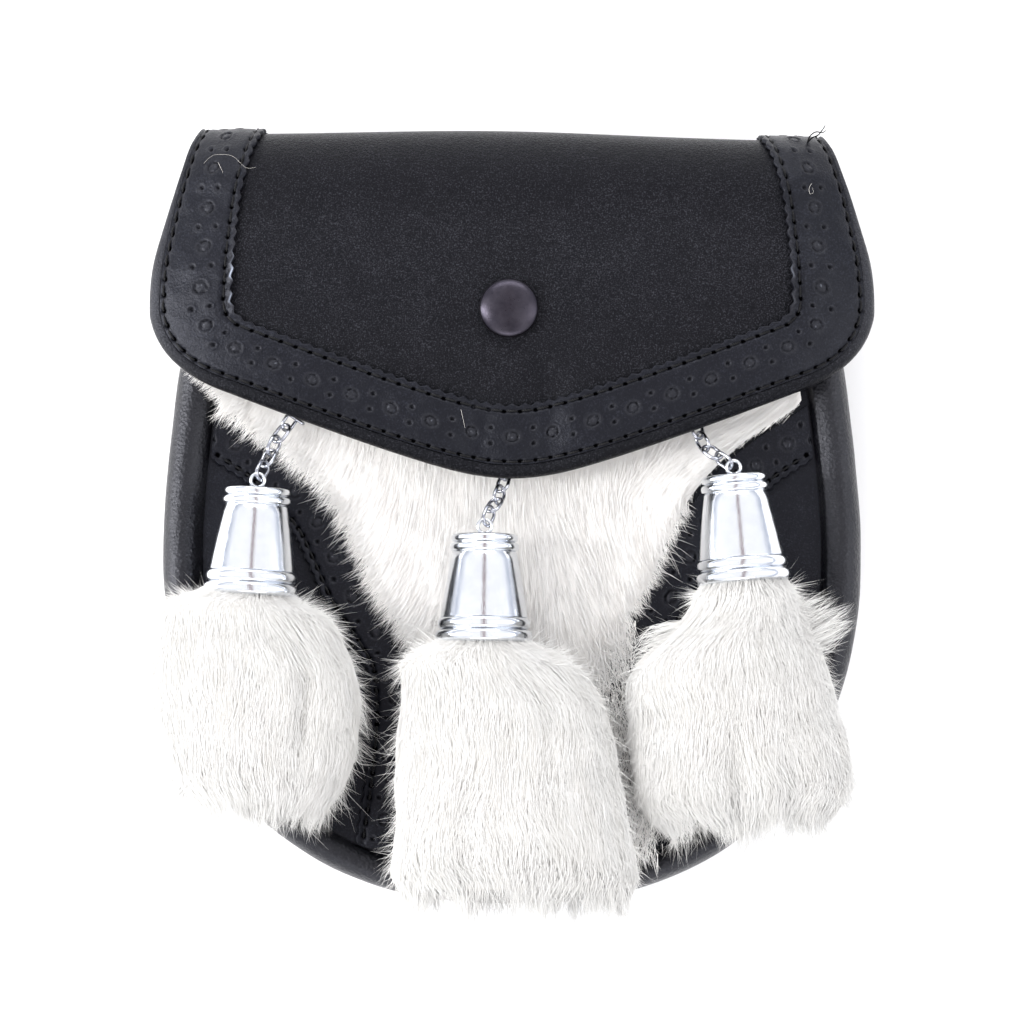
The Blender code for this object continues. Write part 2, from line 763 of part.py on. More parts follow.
def make_cones():
    """Three cones that share a mesh: a turned shell with a wire eye soldered on."""
    profile = [(ring.radius, CONE_LENGTH - ring.drop) for ring in CONE_PROFILE]
    first = turned("cone", profile, CONE_STEPS, "chrome")
    bpy.ops.mesh.primitive_torus_add(
        major_radius=EYE_RADIUS,
        minor_radius=WIRE_RADIUS,
        major_segments=12,
        minor_segments=6,
        location=(0.0, 0.0, CONE_LENGTH + EYE_RISE),
        rotation=(math.pi / 2, 0.0, 0.0),
    )
    eye = bpy.context.active_object
    for holder in list(eye.users_collection):
        holder.objects.unlink(eye)
    cutters.objects.link(eye)
    eye.name = "eye"
    eye.hide_render = True
    eye.display_type = "WIRE"
    join = first.modifiers.new("solder", "BOOLEAN")
    join.operation = "UNION"
    join.object = eye
    shared = evaluated_mesh(first, "cone")
    bpy.data.objects.remove(first, do_unlink=True)
    for cone in CONES:
        piece = place(f"cone_{cone.side}", shared, "chrome")
        piece.matrix_world = cone_frame(cone)


def tassel_ring(fur, row, neck=False, ragged=0.0):
    """One ring of a tassel. Locks start half a lock apart on neighbouring sides, and
    each swells towards its tip, where it hangs over the next one."""
    middle = ((fur.right - fur.left) / 2, (fur.high - fur.low) / 2)
    reach = ((fur.right + fur.left) / 2, (fur.high + fur.low) / 2)
    ring = []
    for k in range(TASSEL_SIDES):
        turn = math.tau * k / TASSEL_SIDES
        odd = k % 2
        phase = (row + odd * LOCK_ROWS // 2) % LOCK_ROWS / (LOCK_ROWS - 1)
        swell = 1.0 if neck else 1.0 - LOCK_RELIEF * (1.0 - phase)
        x = middle[0] + reach[0] * math.cos(turn) * swell
        y = middle[1] + reach[1] * math.sin(turn) * swell
        hang = 0.0 if neck else LOCK_HANG * LOCK_ROW * phase
        z = -fur.drop - hang - ragged * odd
        ring.append((-x, y, z))
    return ring


def tassel_body(cone):
    """The mass of a tassel's fur on a neck that fills the mouth of its cone."""
    table = TASSELS[cone.side]
    rings = [
        tassel_ring(Fur(ring.drop, *[ring.radius] * 4), 0, neck=True) for ring in NECK
    ]
    drops = [fur.drop for fur in table]
    count = round((drops[-1] - drops[0]) / LOCK_ROW)
    for row, drop in enumerate(np.linspace(drops[0], drops[-1], count + 1)):
        sizes = [np.interp(drop, drops, column) for column in list(zip(*table))[1:]]
        ragged = RAGGED if row == count else 0.0
        rings.append(tassel_ring(Fur(drop, *sizes), row, ragged=ragged))
    sizes = [HOLLOW_SHARE * size for size in table[-1][1:]]
    hollow = Fur(drops[-1] - FOOT_HOLLOW, *sizes)
    rings.append(tassel_ring(hollow, 0, neck=True))
    return loft(f"tassel_fur_{cone.side}", rings)


def tuft(name, row):
    """A pointed lock that is joined to a tassel, as a cutter."""
    root = Vector((-row.root_x, row.out, -row.root_drop))
    tip = Vector((-row.tip_x, row.out, -row.tip_drop))
    way = (tip - root).normalized()

    def build(bm):
        bmesh.ops.create_cone(
            bm,
            cap_ends=True,
            segments=6,
            radius1=row.radius,
            radius2=row.radius * TUFT_TIP,
            depth=(tip - root).length,
            matrix=Matrix.Translation((root + tip) / 2)
            @ way.to_track_quat("Z", "Y").to_matrix().to_4x4(),
        )

    piece = bpy.data.objects.new(name, mesh_from(name, build))
    cutters.objects.link(piece)
    piece.hide_render = True
    piece.display_type = "WIRE"
    return piece


def make_tassels():
    """Three fur tassels, each with its standing locks joined to its body."""
    for cone in CONES:
        name = f"tassel_fur_{cone.side}"
        piece = place(name, tassel_body(cone), "fur")
        piece.matrix_world = cone_frame(cone)
        for number, row in enumerate(TUFTS[cone.side], start=1):
            lock = tuft(f"tuft_{cone.side}_{number}", row)
            lock.matrix_world = piece.matrix_world
            join = piece.modifiers.new(lock.name, "BOOLEAN")
            join.operation = "UNION"
            join.object = lock


# ---------------------------------------------------------------- chains


def link_curve():
    """A long link, lying in XY with its length along X."""
    points = []
    half = LINK_HALF_LENGTH - LINK_HALF_WIDTH
    for end, start in ((1, -90), (-1, 90)):
        for step in range(5):
            turn = math.radians(start + 45 * step)
            x = end * half + LINK_HALF_WIDTH * math.cos(turn)
            points.append((x, LINK_HALF_WIDTH * math.sin(turn), 0.0))
    return wire_ring("link", points, WIRE_RADIUS)


def along(path, distance):
    """The point this far along a path of points, past its ends too."""
    for k, (start, end) in enumerate(zip(path, path[1:])):
        length = (end - start).length
        if distance <= length or k == len(path) - 2:
            return start + (end - start) * (distance / length)
        distance -= length


def eye_wire(cone, before):
    """The place on the wire of a cone's eye that faces the point before."""
    frame = cone_frame(cone)
    middle = frame @ Vector((0.0, 0.0, CONE_LENGTH + EYE_RISE))
    out_of_plane = frame.to_3x3().col[1]
    lead = before - middle
    lead -= out_of_plane * lead.dot(out_of_plane)
    return middle + lead.normalized() * EYE_RADIUS


def make_chains():
    """Links from each anchor to the eye of its cone, every second one a quarter turn
    round from the one before."""
    shared = link_curve()
    anchor = anchor_curve()
    for cone in CONES:
        path = [on_front(*stop) for stop in CHAIN_ROUTES[cone.side]]
        path.append(eye_wire(cone, path[-1]))
        length = sum((end - start).length for start, end in zip(path, path[1:]))
        count = math.ceil((length + 2 * LINK_HALF_LENGTH) / MAX_PITCH) - 1
        pitch = (length + 2 * LINK_HALF_LENGTH) / (count + 1)
        reach = LINK_HALF_LENGTH - pitch / 2
        joints = [along(path, pitch * k - reach) for k in range(count + 1)]
        for k, (start, end) in enumerate(zip(joints, joints[1:])):
            way = (end - start).normalized()
            roll = math.radians(45 if k % 2 else -45)
            side = way.cross(Vector((0.0, 0.0, 1.0))).normalized()
            wide = Matrix.Rotation(roll, 3, way) @ side
            turn = Matrix((way, wide, way.cross(wide))).transposed().to_4x4()
            link = place(f"link_{cone.side}_{k + 1}", shared, "chrome")
            link.matrix_world = Matrix.Translation((start + end) / 2) @ turn

        staple = place(f"chain_anchor_{cone.side}", anchor, "chrome")
        lead = path[1] - path[0]
        facing = Matrix.Rotation(math.atan2(lead.x, -lead.y), 4, "Z")
        staple.matrix_world = Matrix.Translation(path[0]) @ facing


def anchor_curve():
    """A box staple in XZ, with the middle of its top bar at the origin."""
    wide = ANCHOR_WIDTH / 2
    deep = ANCHOR_HEIGHT - 2 * WIRE_RADIUS
    points = [
        (wide - ANCHOR_BEND, 0.0, 0.0),
        (wide, 0.0, -ANCHOR_BEND),
        (wide, 0.0, ANCHOR_BEND - deep),
        (wide - ANCHOR_BEND, 0.0, -deep),
        (ANCHOR_BEND - wide, 0.0, -deep),
        (-wide, 0.0, ANCHOR_BEND - deep),
        (-wide, 0.0, -ANCHOR_BEND),
        (ANCHOR_BEND - wide, 0.0, 0.0),
    ]
    return wire_ring("chain_anchor", points, WIRE_RADIUS)


# ---------------------------------------------------------------- the whole sporran

make_gusset()
make_panels()
make_fur_panel()
make_side_bands()
make_flap()
make_snap()
make_belt_loop()
make_cones()
make_tassels()
make_chains()
bpy.context.view_layer.update()
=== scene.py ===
"""The looks of the sporran pouch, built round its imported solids.

Metres, in the frame's axes: X to the right as the front is seen, Y towards the pouch's
top, Z up out of its front. z = 0 is the floor that it lies on.
"""
import math
from collections import namedtuple

import bmesh
import bpy
import numpy as np
from mathutils import Matrix, Vector


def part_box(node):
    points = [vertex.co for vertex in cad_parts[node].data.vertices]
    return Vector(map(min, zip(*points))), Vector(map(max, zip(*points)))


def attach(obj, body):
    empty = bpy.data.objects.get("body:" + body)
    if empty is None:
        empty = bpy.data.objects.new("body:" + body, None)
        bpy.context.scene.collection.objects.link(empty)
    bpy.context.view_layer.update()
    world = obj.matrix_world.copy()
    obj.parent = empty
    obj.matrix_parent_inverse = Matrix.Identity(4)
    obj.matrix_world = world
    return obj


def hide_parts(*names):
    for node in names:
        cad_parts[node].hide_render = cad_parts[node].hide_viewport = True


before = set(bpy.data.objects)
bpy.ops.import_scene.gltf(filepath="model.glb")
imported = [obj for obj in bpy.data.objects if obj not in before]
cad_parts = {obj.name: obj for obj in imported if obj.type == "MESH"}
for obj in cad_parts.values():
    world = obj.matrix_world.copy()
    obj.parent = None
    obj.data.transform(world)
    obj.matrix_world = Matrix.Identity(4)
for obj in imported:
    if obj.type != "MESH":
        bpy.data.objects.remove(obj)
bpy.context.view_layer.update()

# ---------------------------------------------------------------- the pouch's dimensions

GAP = 0.0003
LEATHER = 0.002

BODY_HALF_WIDTH = 0.0873
WIDEST_Y = -0.0041
BODY_DROP = 0.0889
BODY_ROUNDNESS = 2.3
MOUTH_Y = 0.084
MOUTH_HALF_WIDTH = 0.0750
NARROWING = 1.6
MOUTH_DEPTH = 0.026
BOTTOM_DEPTH = 0.038
RECESS = 0.0039
FLANGE = 0.012
RIM_WIDTH = 0.0100
RIM_WIDTH_BOTTOM = 0.0075
DEPTH_SLOPE = (BOTTOM_DEPTH - MOUTH_DEPTH) / (MOUTH_Y - WIDEST_Y + BODY_DROP)
PANEL_TILT = math.atan(DEPTH_SLOPE)
PANEL_UP = np.array([0.0, math.sin(PANEL_TILT), math.cos(PANEL_TILT)])

FOLD_RISE = 0.0145
FOLD_STARTS = -88.0             # degrees from its top, on the back
FLAP_TIP_Y = 0.0131
FLAP_SLOPE = 0.385
FLAP_TIP_BLUNTNESS = 0.00674
FLAP_HEIGHT = 0.0132
FLAP_HEIGHT_AT_FOLD = 0.0105
FLAP_LEVEL_BELOW = 0.060
FLAP_DROOP = 0.0105
DROOP_POWER = 7
TAIL_HALF_WIDTH = 0.060
TAIL_END_Y = 0.052
FLAP_EDGE = 0.0034
BORDER_WIDTH = 0.0179           # at the flap's sides
BORDER_FOOT = 0.0152            # and along its lower edge
BORDER_THICKNESS = 0.001
BORDER_STARTS = -62             # degrees round the fold

SIDE_BAND_WIDTH = 0.0129
SIDE_BAND_THICKNESS = 0.0012
SNAP_AT = (-0.00075, 0.0555)
SNAP_RADIUS = 0.0074
SNAP_RISE = 0.0026

CONE_LENGTH = 0.0272
EYE_RADIUS = 0.0017
EYE_RISE = 0.0018
WIRE_RADIUS = 0.00045
LINK_HALF_LENGTH = 0.0027
LINK_HALF_WIDTH = 0.00175
MAX_PITCH = 0.0042
ANCHOR_WIDTH = 0.0062
ANCHOR_HEIGHT = 0.0036
ANCHOR_CORNER = 0.0007

Side = namedtuple("Side", "y half_width")

# The flap's side edge, carried on below its rounded corner
FLAP_SIDE = [
    Side(0.0985, 0.0785),
    Side(0.0955, 0.0803),
    Side(0.0895, 0.0825),
    Side(0.0775, 0.0866),
    Side(0.0655, 0.0900),
    Side(0.0580, 0.0907),
    Side(0.0505, 0.0904),
    Side(0.0445, 0.0893),
    Side(0.0380, 0.0872),
]

# The fur panel's edge
FUR_EDGE = [
    Side(0.0660, 0.1050),
    Side(0.0325, 0.0745),
    Side(0.0212, 0.0578),
    Side(0.0058, 0.0440),
    Side(-0.0038, 0.0393),
    Side(-0.0132, 0.0350),
    Side(-0.0220, 0.0290),
    Side(-0.0298, 0.0248),
    Side(-0.0422, 0.0230),
    Side(-0.0572, 0.0237),
    Side(-0.0820, 0.0270),
]
FUR_TOP = 0.0640                # where the panel's mass starts, under the flap
FUR_FOOT = -0.0815
FUR_ROOTS = -0.0800, 0.0540     # the lowest and the highest root of its hairs
FUR_WIDEST = 0.080              # more than its half width anywhere

Cone = namedtuple("Cone", "side x y height tilt")

CONES = [
    Cone("left", -0.0649, -0.01625, 0.0144, -3.4),
    Cone("centre", -0.0070, -0.02775, 0.0179, -0.5),
    Cone("right", 0.0576, -0.0130, 0.0144, 5.0),
]

Dent = namedtuple("Dent", "depth x width top_y")

# The flap's crease beside the press stud and the swell next to it
FLAP_DENTS = [Dent(0.0011, 0.0085, 0.0050, 0.052), Dent(-0.0005, 0.0200, 0.0090, 0.056)]
DENT_FADES = 0.020              # how far below its top a dent has its full depth

Stop = namedtuple("Stop", "x y height")

CHAIN_ROUTES = {
    "left": [
        Stop(-0.0547, 0.0285, 0.0081),
        Stop(-0.0572, 0.0247, 0.0086),
        Stop(-0.0590, 0.0222, 0.0097),
        Stop(-0.0604, 0.0188, 0.0112),
    ],
    "centre": [
        Stop(-0.0014, 0.0165, 0.0081),
        Stop(-0.0018, 0.0132, 0.0090),
        Stop(-0.0032, 0.0084, 0.0126),
        Stop(-0.0054, 0.0050, 0.0166),
    ],
    "right": [
        Stop(0.0458, 0.0270, 0.0081),
        Stop(0.0464, 0.0240, 0.0086),
        Stop(0.0478, 0.0212, 0.0102),
        Stop(0.0505, 0.0190, 0.0122),
    ],
}

Fur = namedtuple("Fur", "drop left right low high")

NECK = [Fur(-0.0060, *[0.0085] * 4), Fur(0.0002, *[0.0098] * 4)]


def tassel_table(low, *rows):
    """The neck and (drop, left, right, high) rows, which all reach this far down."""
    return NECK + [Fur(drop, left, right, low, high) for drop, left, right, high in rows]


TASSELS = {
    "left": tassel_table(
        0.0099,
        (0.0016, 0.0185, 0.0145, 0.0125), (0.0042, 0.0222, 0.0195, 0.0145),
        (0.0105, 0.0230, 0.0236, 0.0160), (0.0210, 0.0235, 0.0282, 0.0175),
        (0.0300, 0.0228, 0.0288, 0.0178), (0.0400, 0.0190, 0.0280, 0.0165),
        (0.0480, 0.0145, 0.0250, 0.0130), (0.0545, 0.0070, 0.0195, 0.0060)),
    "centre": tassel_table(
        0.0118,
        (0.0016, 0.0150, 0.0150, 0.0125), (0.0042, 0.0195, 0.0205, 0.0145),
        (0.0120, 0.0196, 0.0282, 0.0165), (0.0215, 0.0208, 0.0315, 0.0180),
        (0.0330, 0.0212, 0.0338, 0.0185), (0.0480, 0.0214, 0.0368, 0.0175),
        (0.0590, 0.0218, 0.0384, 0.0140), (0.0645, 0.0185, 0.0355, 0.0070)),
    "right": tassel_table(
        0.0099,
        (0.0016, 0.0122, 0.0116, 0.0125), (0.0085, 0.0145, 0.0142, 0.0145),
        (0.0130, 0.0222, 0.0156, 0.0160), (0.0200, 0.0300, 0.0180, 0.0175),
        (0.0300, 0.0314, 0.0196, 0.0180), (0.0440, 0.0316, 0.0222, 0.0170),
        (0.0540, 0.0308, 0.0220, 0.0145), (0.0605, 0.0240, 0.0150, 0.0070)),
}

Tuft = namedtuple("Tuft", "root_x root_drop tip_x tip_drop out radius")

TUFTS = {
    "left": [
        Tuft(-0.0110, 0.0400, -0.0185, 0.0545, -0.0020, 0.0075),
        Tuft(0.0060, 0.0440, 0.0050, 0.0600, 0.0010, 0.0085),
        Tuft(0.0150, 0.0400, 0.0215, 0.0565, -0.0010, 0.0070),
        Tuft(0.0190, 0.0180, 0.0305, 0.0330, 0.0030, 0.0065),
        Tuft(-0.0140, 0.0140, -0.0222, 0.0260, 0.0040, 0.0065),
    ],
    "centre": [
        Tuft(-0.0110, 0.0540, -0.0175, 0.0690, -0.0030, 0.0070),
        Tuft(-0.0020, 0.0560, -0.0040, 0.0706, -0.0010, 0.0080),
        Tuft(0.0130, 0.0560, 0.0155, 0.0702, 0.0000, 0.0085),
        Tuft(0.0250, 0.0520, 0.0360, 0.0690, -0.0030, 0.0080),
        Tuft(0.0200, 0.0120, 0.0295, 0.0225, 0.0030, 0.0065),
        Tuft(-0.0130, 0.0280, -0.0205, 0.0420, 0.0050, 0.0060),
    ],
    "right": [
        Tuft(0.0100, 0.0150, 0.0255, 0.0080, 0.0020, 0.0062),
        Tuft(0.0110, 0.0175, 0.0255, 0.0125, 0.0030, 0.0055),
        Tuft(0.0080, 0.0120, 0.0210, 0.0055, 0.0020, 0.0055),
        Tuft(-0.0180, 0.0460, -0.0265, 0.0610, -0.0020, 0.0080),
        Tuft(-0.0050, 0.0520, -0.0070, 0.0675, 0.0000, 0.0085),
        Tuft(0.0080, 0.0500, 0.0110, 0.0665, 0.0000, 0.0075),
        Tuft(0.0150, 0.0440, 0.0225, 0.0590, -0.0020, 0.0065),
        Tuft(-0.0180, 0.0120, -0.0290, 0.0160, 0.0020, 0.0060),
    ],
}

# ---------------------------------------------------------------- finer detail

RIM_ROUND = 0.0060              # how far below its crest the rim starts to turn in
RIM_ROUND_SHARE = 0.46          # of the rim's width that this turn takes
RIM_RIDGE = 0.00055             # ridge along the inner edge of the right side's rim
BODY_WAVES = 0.00012            # unevenness of the body's leather
FLAP_WAVES = 0.00022            # and of the flap's
STUD_PULL = 0.0006              # depth of the hollow that the press stud pulls
FOLD_BULGE = 0.00165            # of the fold's middle beyond its straight line
FOLD_BULGE_X = -0.005           # the bulge's middle
FOLD_BULGE_WIDTH = 0.045
FOLD_LIFT = 0.0003              # of the whole fold's line
FOLD_SLANT = 0.0007 / 0.06      # how much the fold's line falls to the right
CORNER_RUN_UP = 0.0125          # how far the flap's rounded corner reaches up its side
CORNER_RUN_IN = 0.0150          # and along its lower edge
CORNER_RUN_LEAST = 0.0046       # the same for the sharpest inset of it
FLAP_CORNER_FADES = 0.019       # the inset at which it is that sharp
FLAP_CORNER_Y = 0.0424          # about where the flap's lower edge would meet its side
EDGE_PINCH = 0.60               # how much of the flap's edge roll is lost at the fold
BAND_PINCH = 0.15               # and of the border's width

STITCH_OUTER = 0.0009           # from the border's outer edge to its first seam
STITCH_INNER = 0.0155           # and to its second seam
STITCH_PITCH = 0.0039
STITCH_RADIUS = 0.00030
BANDS_FOOT = -0.0805            # where the side bands end
BAND_STITCH = 0.0107            # from the fur's edge to the side band's seam
BAND_STITCH_PITCH = 0.0032
GROOVE_DEPTH = 0.00032
GROOVE_WIDTH = 0.00055
HOLE_DEPTH = 0.0006
HOLE_RADIUS = 0.00052

BROGUE_PITCH = 0.0104           # from one ring to the next, with a pair of dots between
BROGUE_LINE = 0.0081            # from the border's outer edge to the line of rings
BROGUE_STRAYS = 0.0020          # how much farther in that line runs at the flap's sides
BAND_BROGUE_LINE = 0.0058       # from the fur's edge to the side band's line of rings
RING_RADIUS = 0.00140
RING_DEPTH = 0.00042
DOT_RADIUS = 0.00056
DOT_DEPTH = 0.00055
DOT_SPREAD = 0.0023             # of a pair of dots from the line of rings
PINKING_PITCH = 0.0031
PINKING_DEPTH = 0.0008
PINKING_STANDS = 0.0008         # how far the border's teeth stand up at the flap's sides
BORDER_PUFF = 0.00016           # unevenness of the border between its seams
RING_STRAY = 0.00022            # how far single rings lie off their line
RING_LINE = 0.00034             # width of a ring's groove
LIP_OFF = 0.00060               # from that groove to the lip round it
LIP_LINE = 0.00028
LIP_SHARE = 0.35                # of a ring's depth that its lip stands up
RING_INSIDE = 0.00125
RING_CRUSH = 0.00012            # unevenness of the leather inside a ring
CRUSH_SIZE = 0.0011
DOT_LIP_RADIUS = 0.00100
DOT_LIP_LINE = 0.00024
DOT_LIP_SHARE = 0.30
THINNEST = 0.00015              # of the bands' leather in a hole
CUT_EDGE = 0.0003               # over which the bands' cut edges are rounded

COAT_HEIGHT = 0.0038            # of the panel's coat over the front's leather
TIP_HEIGHT = 0.0042             # and of the ends of its long hairs
COAT_WIDTH = 0.00016            # of a hair of the coat
NAP_WIDTH = 0.00014             # of the fine hairs between them
FRINGE_WIDTH = 0.00011
GUARD_WIDTH = 0.00008
TASSEL_RADIUS = 0.02            # about a tassel's; it turns a way round into a length
MASS_SUNK = 0.0008              # how far a tassel's mass lies inside its hair
MASS_ENDS = 0.009               # and how much farther at its lower end
MASS_EDGE = 0.0012              # from the panel's edge to its mass
MASS_BELOW = 0.0011             # from the top of its coat down to the mass
LIGHT_THROUGH = 1.3             # how far the hairs' normals are turned up
TASSEL_BED = 0.0042             # over the front's leather, where a tassel lies on the rim

CONE_SIDES = 96
SNAP_SIDES = 64
EYE_STEPS = 28
WIRE_SIDES = 10


# ---------------------------------------------------------------- small mathematics


def smooth(table, y):
    """Reads a smooth curve through a table of Side rows at the heights y."""
    rows = sorted(table)
    ys = np.array([row.y for row in rows])
    return smooth_between(ys, np.array([row.half_width for row in rows]), y)


def smooth_between(xs, values, x):
    """A cubic through (xs, values), xs rising, read at x and level past its ends."""
    slopes = np.gradient(values, xs)
    k = np.clip(np.searchsorted(xs, x) - 1, 0, len(xs) - 2)
    width = xs[k + 1] - xs[k]
    t = np.clip((x - xs[k]) / width, 0.0, 1.0)
    start = (1 + 2 * t) * (1 - t) ** 2 * values[k] + t * (1 - t) ** 2 * width * slopes[k]
    return start + t * t * ((3 - 2 * t) * values[k + 1] + (t - 1) * width * slopes[k + 1])


def curve_through(knots, count):
    """So many points of a smooth curve through knots."""
    places = np.linspace(0, len(knots) - 1, count)
    stops = np.arange(len(knots)) * 1.0
    return np.stack([smooth_between(stops, axis, places) for axis in knots.T], axis=1)


def read_at(places, lengths, line):
    """Rows of a line read at places along it."""
    return np.stack([np.interp(places, lengths, axis) for axis in line.T], axis=1)


def ramp(x, low, high):
    """0 below low, 1 above high and a soft step between."""
    t = np.clip((x - low) / (high - low), 0.0, 1.0)
    return t * t * (3 - 2 * t)


def bump(x, width):
    return np.exp(-((x / width) ** 2))


def waves(x, y, size, seed):
    """Smooth unevenness from -1 to 1 with features of about this size."""
    random = np.random.default_rng(seed)
    total = 0.0
    for _ in range(7):
        turn = random.uniform(0, math.tau)
        pace = random.uniform(0.6, 1.5) * math.tau / size
        along = x * math.cos(turn) + y * math.sin(turn)
        total = total + np.sin(along * pace + random.uniform(0, math.tau))
    return total / 4


def lengths_along(points):
    """How far along a line each of its points lies."""
    steps = np.linalg.norm(np.diff(points, axis=0), axis=1)
    return np.concatenate([[0.0], np.cumsum(steps)])


def unit(vectors):
    return vectors / np.maximum(np.linalg.norm(vectors, axis=-1, keepdims=True), 1e-12)


def normals_of(grid):
    """Unit normals of a grid of points: down its rows crossed with along them."""
    return unit(np.cross(np.gradient(grid, axis=0), np.gradient(grid, axis=1)))


# ---------------------------------------------------------------- meshes


def object_from(name, mesh, look, replaces=()):
    """Adds a piece of the sporran that rides on it."""
    mesh.name = name
    mesh.materials.append(look)
    piece = bpy.data.objects.new(name, mesh)
    bpy.context.scene.collection.objects.link(piece)
    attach(piece, "root")
    if replaces:
        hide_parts(*replaces)


def mesh_of(points, faces, sharp=50):
    """A smooth mesh from points and faces, creased where it turns more than sharp."""
    mesh = bpy.data.meshes.new("mesh")
    mesh.from_pydata(np.asarray(points).tolist(), [], faces)
    mesh.shade_smooth()
    mesh.set_sharp_from_angle(angle=math.radians(sharp))
    return mesh


def mark(mesh, name, values):
    """Gives a mesh's first points a value that its material reads, and the others 0."""
    layer = mesh.attributes.new(name, "FLOAT", "POINT")
    all_values = np.zeros(len(mesh.vertices), np.float32)
    all_values[: values.size] = values.ravel()
    layer.data.foreach_set("value", all_values)


def merge_doubled(mesh, distance=0.000004):
    """Makes a mesh's doubled points one."""
    work = bmesh.new()
    work.from_mesh(mesh)
    bmesh.ops.remove_doubles(work, verts=work.verts, dist=distance)
    bmesh.ops.dissolve_degenerate(work, edges=work.edges, dist=distance)
    work.to_mesh(mesh)
    work.free()


def slab(outer, inner, open_end=False):
    """Points and faces of a sheet with an outer and an inner grid of as many rows each.

    With open_end, the last row's two halves lie on each other and are merged later.
    """
    rows, columns = outer.shape[:2]
    inner_columns = inner.shape[1]

    def at(i, j):
        return i * columns + j

    def under(i, j):
        return rows * columns + i * inner_columns + j

    faces = []
    for i in range(rows - 1):
        for j in range(columns - 1):
            faces.append((at(i, j), at(i + 1, j), at(i + 1, j + 1), at(i, j + 1)))
        for j in range(inner_columns - 1):
            faces.append((under(i, j), under(i, j + 1),
                          under(i + 1, j + 1), under(i + 1, j)))
        faces.append((at(i, 0), under(i, 0), under(i + 1, 0), at(i + 1, 0)))
        last, under_last = columns - 1, inner_columns - 1
        faces.append((at(i, last), at(i + 1, last),
                      under(i + 1, under_last), under(i, under_last)))
    faces.append([at(0, j) for j in range(columns)]
                 + [under(0, j) for j in reversed(range(inner_columns))])
    if not open_end:
        faces.append([at(rows - 1, j) for j in reversed(range(columns))]
                     + [under(rows - 1, j) for j in range(inner_columns)])
    return np.concatenate([outer.reshape(-1, 3), inner.reshape(-1, 3)]), faces


def every(grid, step):
    """Every step-th column of a grid, and its last."""
    columns = sorted({*range(0, grid.shape[1], step), grid.shape[1] - 1})
    return grid[:, columns]


def turned(profile, steps):
    """Points and faces of a solid turned about Z from (radius, z) rows, top to bottom,
    that start and end on the axis."""
    turns = np.arange(steps) * math.tau / steps
    ring = np.stack([np.cos(turns), np.sin(turns)], axis=1)
    points = [(0.0, 0.0, profile[0][1])]
    for radius, z in profile[1:-1]:
        points += [(radius * c, radius * s, z) for c, s in ring]
    points.append((0.0, 0.0, profile[-1][1]))
    faces = []
    last = len(points) - 1
    rings = len(profile) - 2
    for k in range(steps):
        after = (k + 1) % steps
        faces.append((0, 1 + k, 1 + after))
        for r in range(rings - 1):
            a, b = 1 + r * steps, 1 + (r + 1) * steps
            faces.append((a + k, b + k, b + after, a + after))
        end = 1 + (rings - 1) * steps
        faces.append((last, end + after, end + k))
    return points, faces


def tube_faces(rings, sides, closed=False):
    """Faces round so many rings of points, with flat ends unless the last ring joins
    the first."""
    faces = []
    for k in range(rings if closed else rings - 1):
        following = (k + 1) % rings
        for s in range(sides):
            after = (s + 1) % sides
            faces.append((k * sides + s, k * sides + after,
                          following * sides + after, following * sides + s))
    if not closed:
        faces.append(tuple(reversed(range(sides))))
        faces.append(tuple(range((rings - 1) * sides, rings * sides)))
    return faces


def tube(path, radius, sides, closed=False, taper=1.0):
    """Points and faces of a round wire along a path, with flat or pinched ends."""
    path = np.asarray(path, float)
    count = len(path)
    if closed:
        along = unit(np.roll(path, -1, axis=0) - np.roll(path, 1, axis=0))
    else:
        along = unit(np.gradient(path, axis=0))
    across = np.zeros_like(path)
    guide = unit(np.cross(along[0], (0.3, 0.2, 1.0)))
    for k in range(count):
        guide = unit(guide - along[k] * np.dot(guide, along[k]))
        across[k] = guide
    up = np.cross(along, across)
    turns = np.arange(sides) * math.tau / sides
    radii = radius * (taper * np.ones(count))
    points = path[:, None] + radii[:, None, None] * (
        np.cos(turns)[None, :, None] * across[:, None]
        + np.sin(turns)[None, :, None] * up[:, None])
    return points.reshape(-1, 3), tube_faces(count, sides, closed)


def joined(parts):
    """Several (points, faces) as one."""
    points, faces, base = [], [], 0
    for part_points, part_faces in parts:
        points.append(np.asarray(part_points, float))
        faces += [tuple(base + index for index in face) for face in part_faces]
        base += len(part_points)
    return np.concatenate(points), faces


def carried(matrix, points):
    """Points moved by a matrix."""
    turn = np.array(matrix)
    return np.asarray(points, float) @ turn[:3, :3].T + turn[:3, 3]


# ---------------------------------------------------------------- materials


